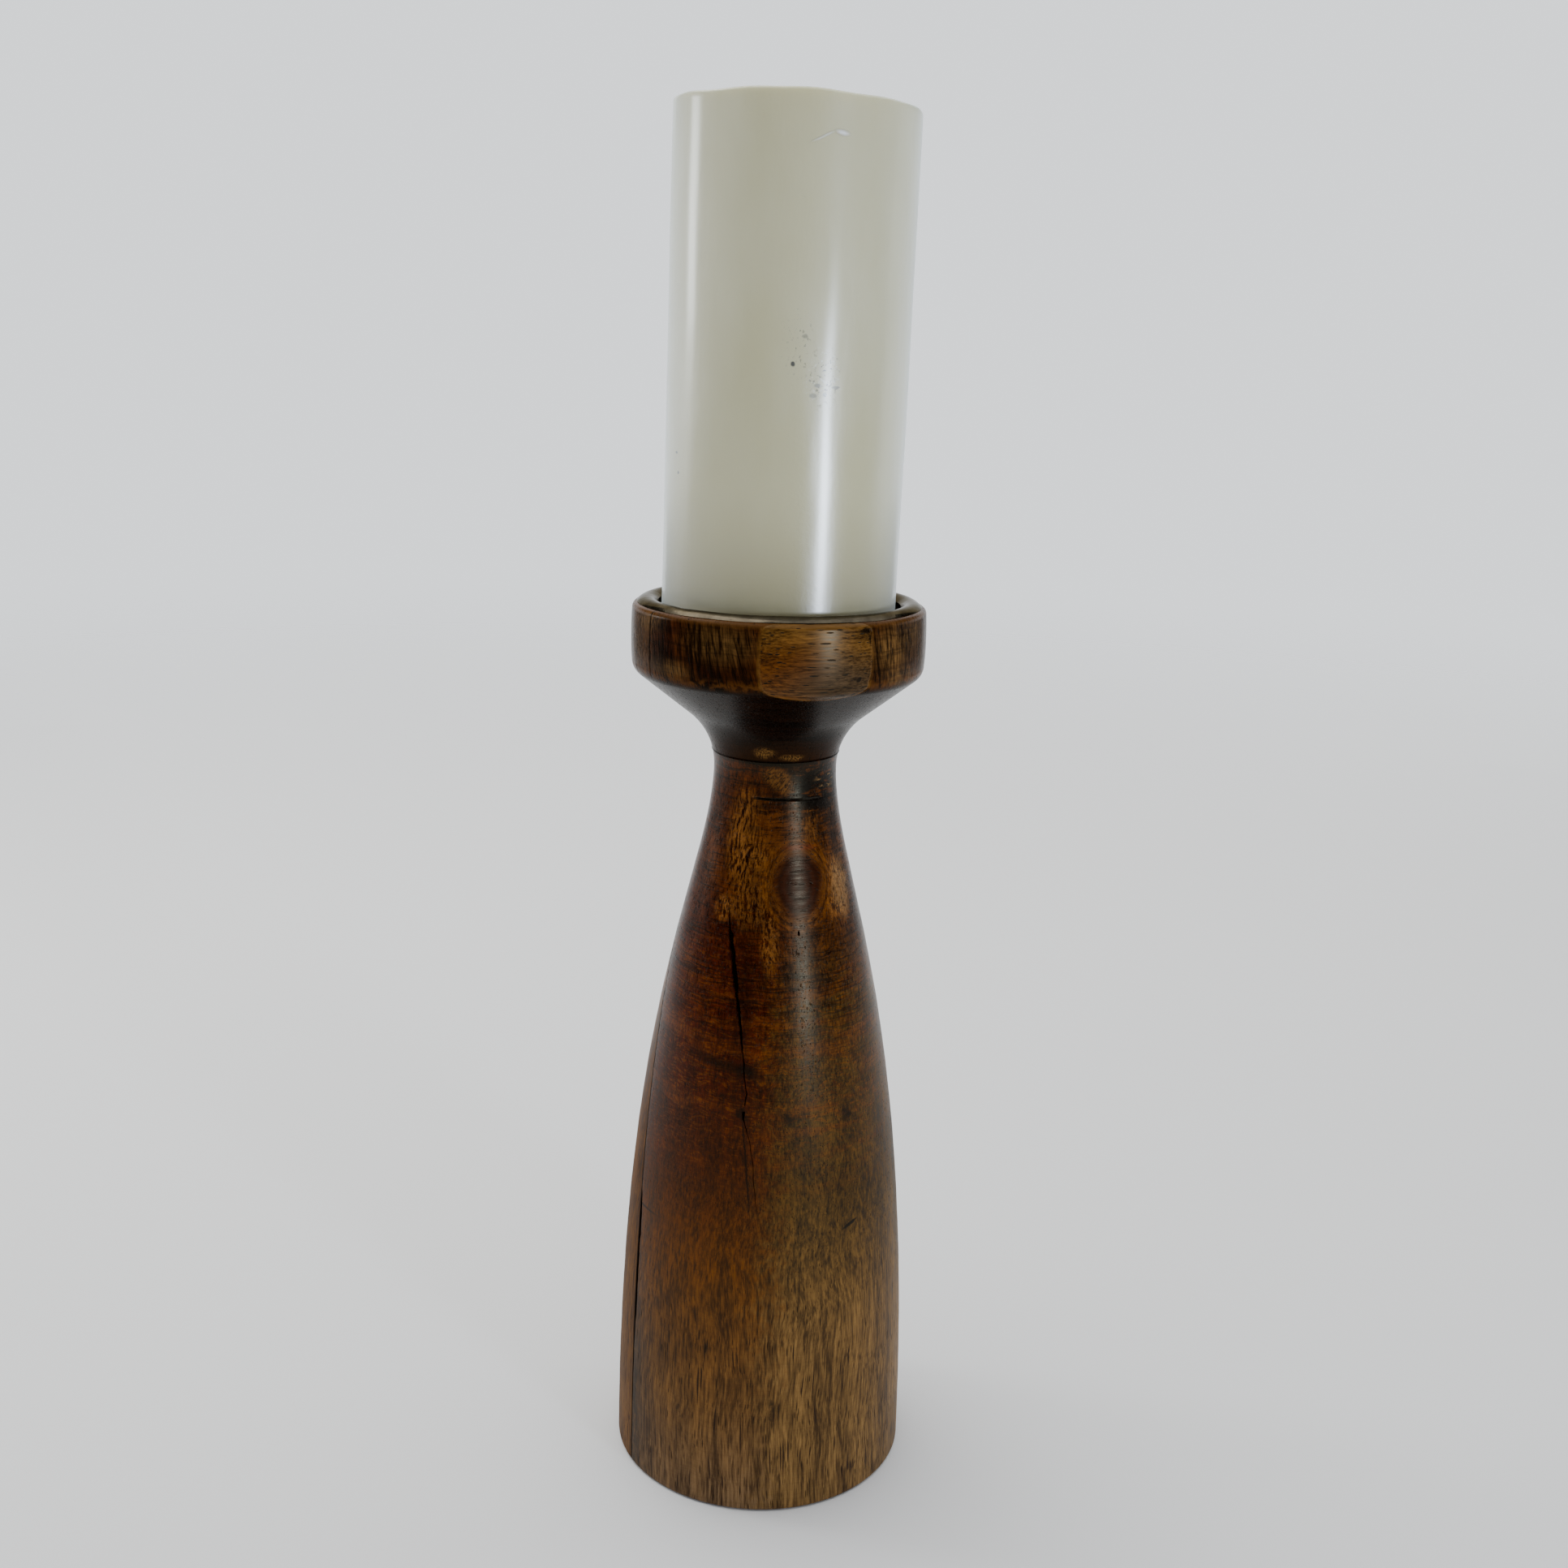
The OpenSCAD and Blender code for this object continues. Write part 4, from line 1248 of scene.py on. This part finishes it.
def steel(name, shade):
    g = Graph(name)
    brushed = g.noise(g.stretch(g.p, 0.2, 1, 1), 6, 3, 0.6)
    dull = g.noise(g.p, 0.5, 3)
    dark, light = (shade - 24, shade - 26, shade - 32), (shade, shade, shade - 6)
    return g.surface(Base_Color=g.blend(g.fit(dull, 0.35, 0.65), dark, light), Metallic=1.0,
                     Roughness=g.spread(brushed, 0.25, 0.42), Normal=g.bump(brushed, 0.02))


def clothe_hidden_nodes():
    """The pieces that stay as the CAD made them, inside the others."""
    for node, material in (("neck_dowel", dowel_wood()), ("dish_screw", steel("screw_steel", 206)),
                           ("wick_tab", steel("tab_steel", 214))):
        clothe(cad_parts[node], material)


# ---------- studio ----------

FLOOR_RADIUS = 4.0
FLOOR_TONES = ((0.80, 0.785, 0.765, 1), (0.83, 0.815, 0.795, 1))  # linear
FLOOR_FADE = (700, 2600)  # the floor fades out between these distances, in mm
DAYLIGHT = (0.93, 0.965, 1.0, 1)
DAYLIGHT_STRENGTH = 1.45
CURTAIN_TONE = (0.02, 0.017, 0.014, 1)
CURTAIN_DISTANCE = 1.35
CURTAIN_STEPS = 24


def studio_floor():
    """A plain pale floor that fades into the pale surround, so there is no horizon line."""
    mesh = bpy.data.meshes.new("floor")
    bm = bmesh.new()
    bmesh.ops.create_circle(bm, cap_ends=True, radius=FLOOR_RADIUS, segments=96)
    bm.to_mesh(mesh)
    bm.free()
    obj = show("floor", mesh)
    g = Graph("floor")
    solid = g.shader("ShaderNodeBsdfPrincipled", Base_Color=g.blend(g.noise(g.p, 0.002, 2), *FLOOR_TONES),
                     Roughness=0.9)
    mixed = g.node("ShaderNodeMixShader")
    far = g.fit(g.vec("LENGTH", g.p), *FLOOR_FADE, smooth=True)
    for socket, value in zip(mixed.inputs, (far, solid, g.shader("ShaderNodeBsdfTransparent"))):
        g.put(socket, value)
    g.end(mixed.outputs[0])
    clothe(obj, g.mat)


def area_light(name, centre, target, width, height, watts, colour):
    data = bpy.data.lights.new(name, "AREA")
    data.shape = "RECTANGLE"
    data.size = width
    data.size_y = height
    data.energy = watts
    data.color = colour
    obj = show(name, data)
    obj.location = centre
    obj.rotation_euler = (Vector(target) - Vector(centre)).to_track_quat("-Z", "Y").to_euler()
    obj.visible_camera = False


def surround():
    world = bpy.data.worlds.new("surround")
    world.use_nodes = True
    back = world.node_tree.nodes["Background"]
    back.inputs["Color"].default_value = DAYLIGHT
    back.inputs["Strength"].default_value = DAYLIGHT_STRENGTH
    bpy.context.scene.world = world


def around(azimuth, distance, z):
    """A place round the object: azimuth in degrees from the front towards +X, distances in metres."""
    a = math.radians(azimuth)
    return (distance * math.sin(a), -distance * math.cos(a), z)


def curtain(name, start, end, low, high):
    """A dark curved curtain between two azimuths, which keeps white reflections out of the dark wood."""
    verts, faces = [], []
    for i in range(CURTAIN_STEPS + 1):
        azimuth = mix(start, end, i / CURTAIN_STEPS)
        verts += [around(azimuth, CURTAIN_DISTANCE, low), around(azimuth, CURTAIN_DISTANCE, high)]
    for i in range(CURTAIN_STEPS):
        faces.append((2 * i, 2 * i + 2, 2 * i + 3, 2 * i + 1))
    mesh = bpy.data.meshes.new(name)
    mesh.from_pydata(verts, [], faces)
    obj = show(name, mesh)
    g = Graph(name)
    g.end(g.shader("ShaderNodeBsdfDiffuse", Color=CURTAIN_TONE))
    clothe(obj, g.mat)
    obj.visible_camera = False
    return obj


def light_the_scene():
    """Soft daylight all round, a window at the right front, an edge light, and dark curtains."""
    surround()
    curtain("front_curtain", -100, 100, -0.01, 1.25)
    for side in (-1, 1):
        for low, high in ((-0.01, 0.22), (0.62, 1.25)):
            flag = curtain("side_curtain", side * 100, side * 148, low, high)
            flag.visible_diffuse = False
            flag.visible_shadow = False
    area_light("window", around(38.5, 1.25, 0.262), (0, 0, 0.28), 0.15, 0.22, 6.9, (0.83, 0.94, 1.12))
    area_light("candle_edge", around(-105, 1.2, 0.53), (0, 0, 0.42), 0.24, 0.22, 3.2, (0.92, 0.97, 1.0))
    area_light("overhead", (-0.5, 0.3, 1.6), (0, 0, 0.2), 1.2, 1.2, 11.0, (1.0, 0.99, 0.97))


CAMERA_PAN = 0.407
CAMERA_TILT = 13.97
CAMERA_ROLL = 1.62
CAMERA_PLACE = (-0.0008, -0.5526, 0.3796)
FOCAL = 39.13


def camera():
    """The photograph's camera, fitted to the arcs of the foot, the rim and the candle's top."""
    pan, tilt, roll = (math.radians(a) for a in (CAMERA_PAN, CAMERA_TILT, CAMERA_ROLL))
    forward = Vector((math.sin(pan) * math.cos(tilt), math.cos(pan) * math.cos(tilt), -math.sin(tilt)))
    level = forward.cross(Vector((0, 0, 1))).normalized()
    up = level.cross(forward)
    right = level * math.cos(roll) + up * math.sin(roll)
    top = up * math.cos(roll) - level * math.sin(roll)
    matrix = Matrix((right, top, -forward)).transposed().to_4x4()
    matrix.translation = Vector(CAMERA_PLACE)
    data = bpy.data.cameras.new("camera")
    data.lens = FOCAL
    data.sensor_width = 36
    data.clip_start = 0.01
    obj = show("camera", data)
    obj.matrix_world = matrix
    bpy.context.scene.camera = obj


# ---------- the whole scene ----------

def build():
    raw, dark = raw_wood(), crack_wood()
    blank = column_blank()
    column_main_board(blank, (column_wood(), raw, dark))
    column_side_board(blank, (side_wood(), raw, dark))
    cup = cup_blank()
    edges = [FRONT_SEAM_D - k * BOARD_T for k in range(4)]
    slabs = (slab_wood("front_slab_wood", (0, 0, 0)), slab_wood("rear_slab_wood", (70, 20, 31)))
    boards = (cup_wood("front_board_wood", (0, 0, 0), 0.0),
              cup_wood("middle_board_wood", (37, 11, 53), 0.35),
              cup_wood("rear_board_wood", (81, 43, 17), 0.15))
    for piece, node, slot, near, far, outer in (
            ("cup_front_slab_wood", "cup_front_slab", "slab_wood", edges[0], None, slabs[0]),
            ("cup_front_wood", "cup_front_board", "cup_wood", edges[1], edges[0], boards[0]),
            ("cup_middle_wood", "cup_middle_board", "cup_wood", edges[2], edges[1], boards[1]),
            ("cup_rear_wood", "cup_rear_board", "cup_wood", edges[3], edges[2], boards[2]),
            ("cup_rear_slab_wood", "cup_rear_slab", "slab_wood", None, edges[3], slabs[1])):
        cup_piece(cup, piece, node, slot, near, far, (outer, raw, dark))
    candle_dish(dish_metal())
    pillar_candle(wax())
    wick(charred())
    felt_disc(felt())
    clothe_hidden_nodes()
    studio_floor()
    light_the_scene()
    camera()


build()
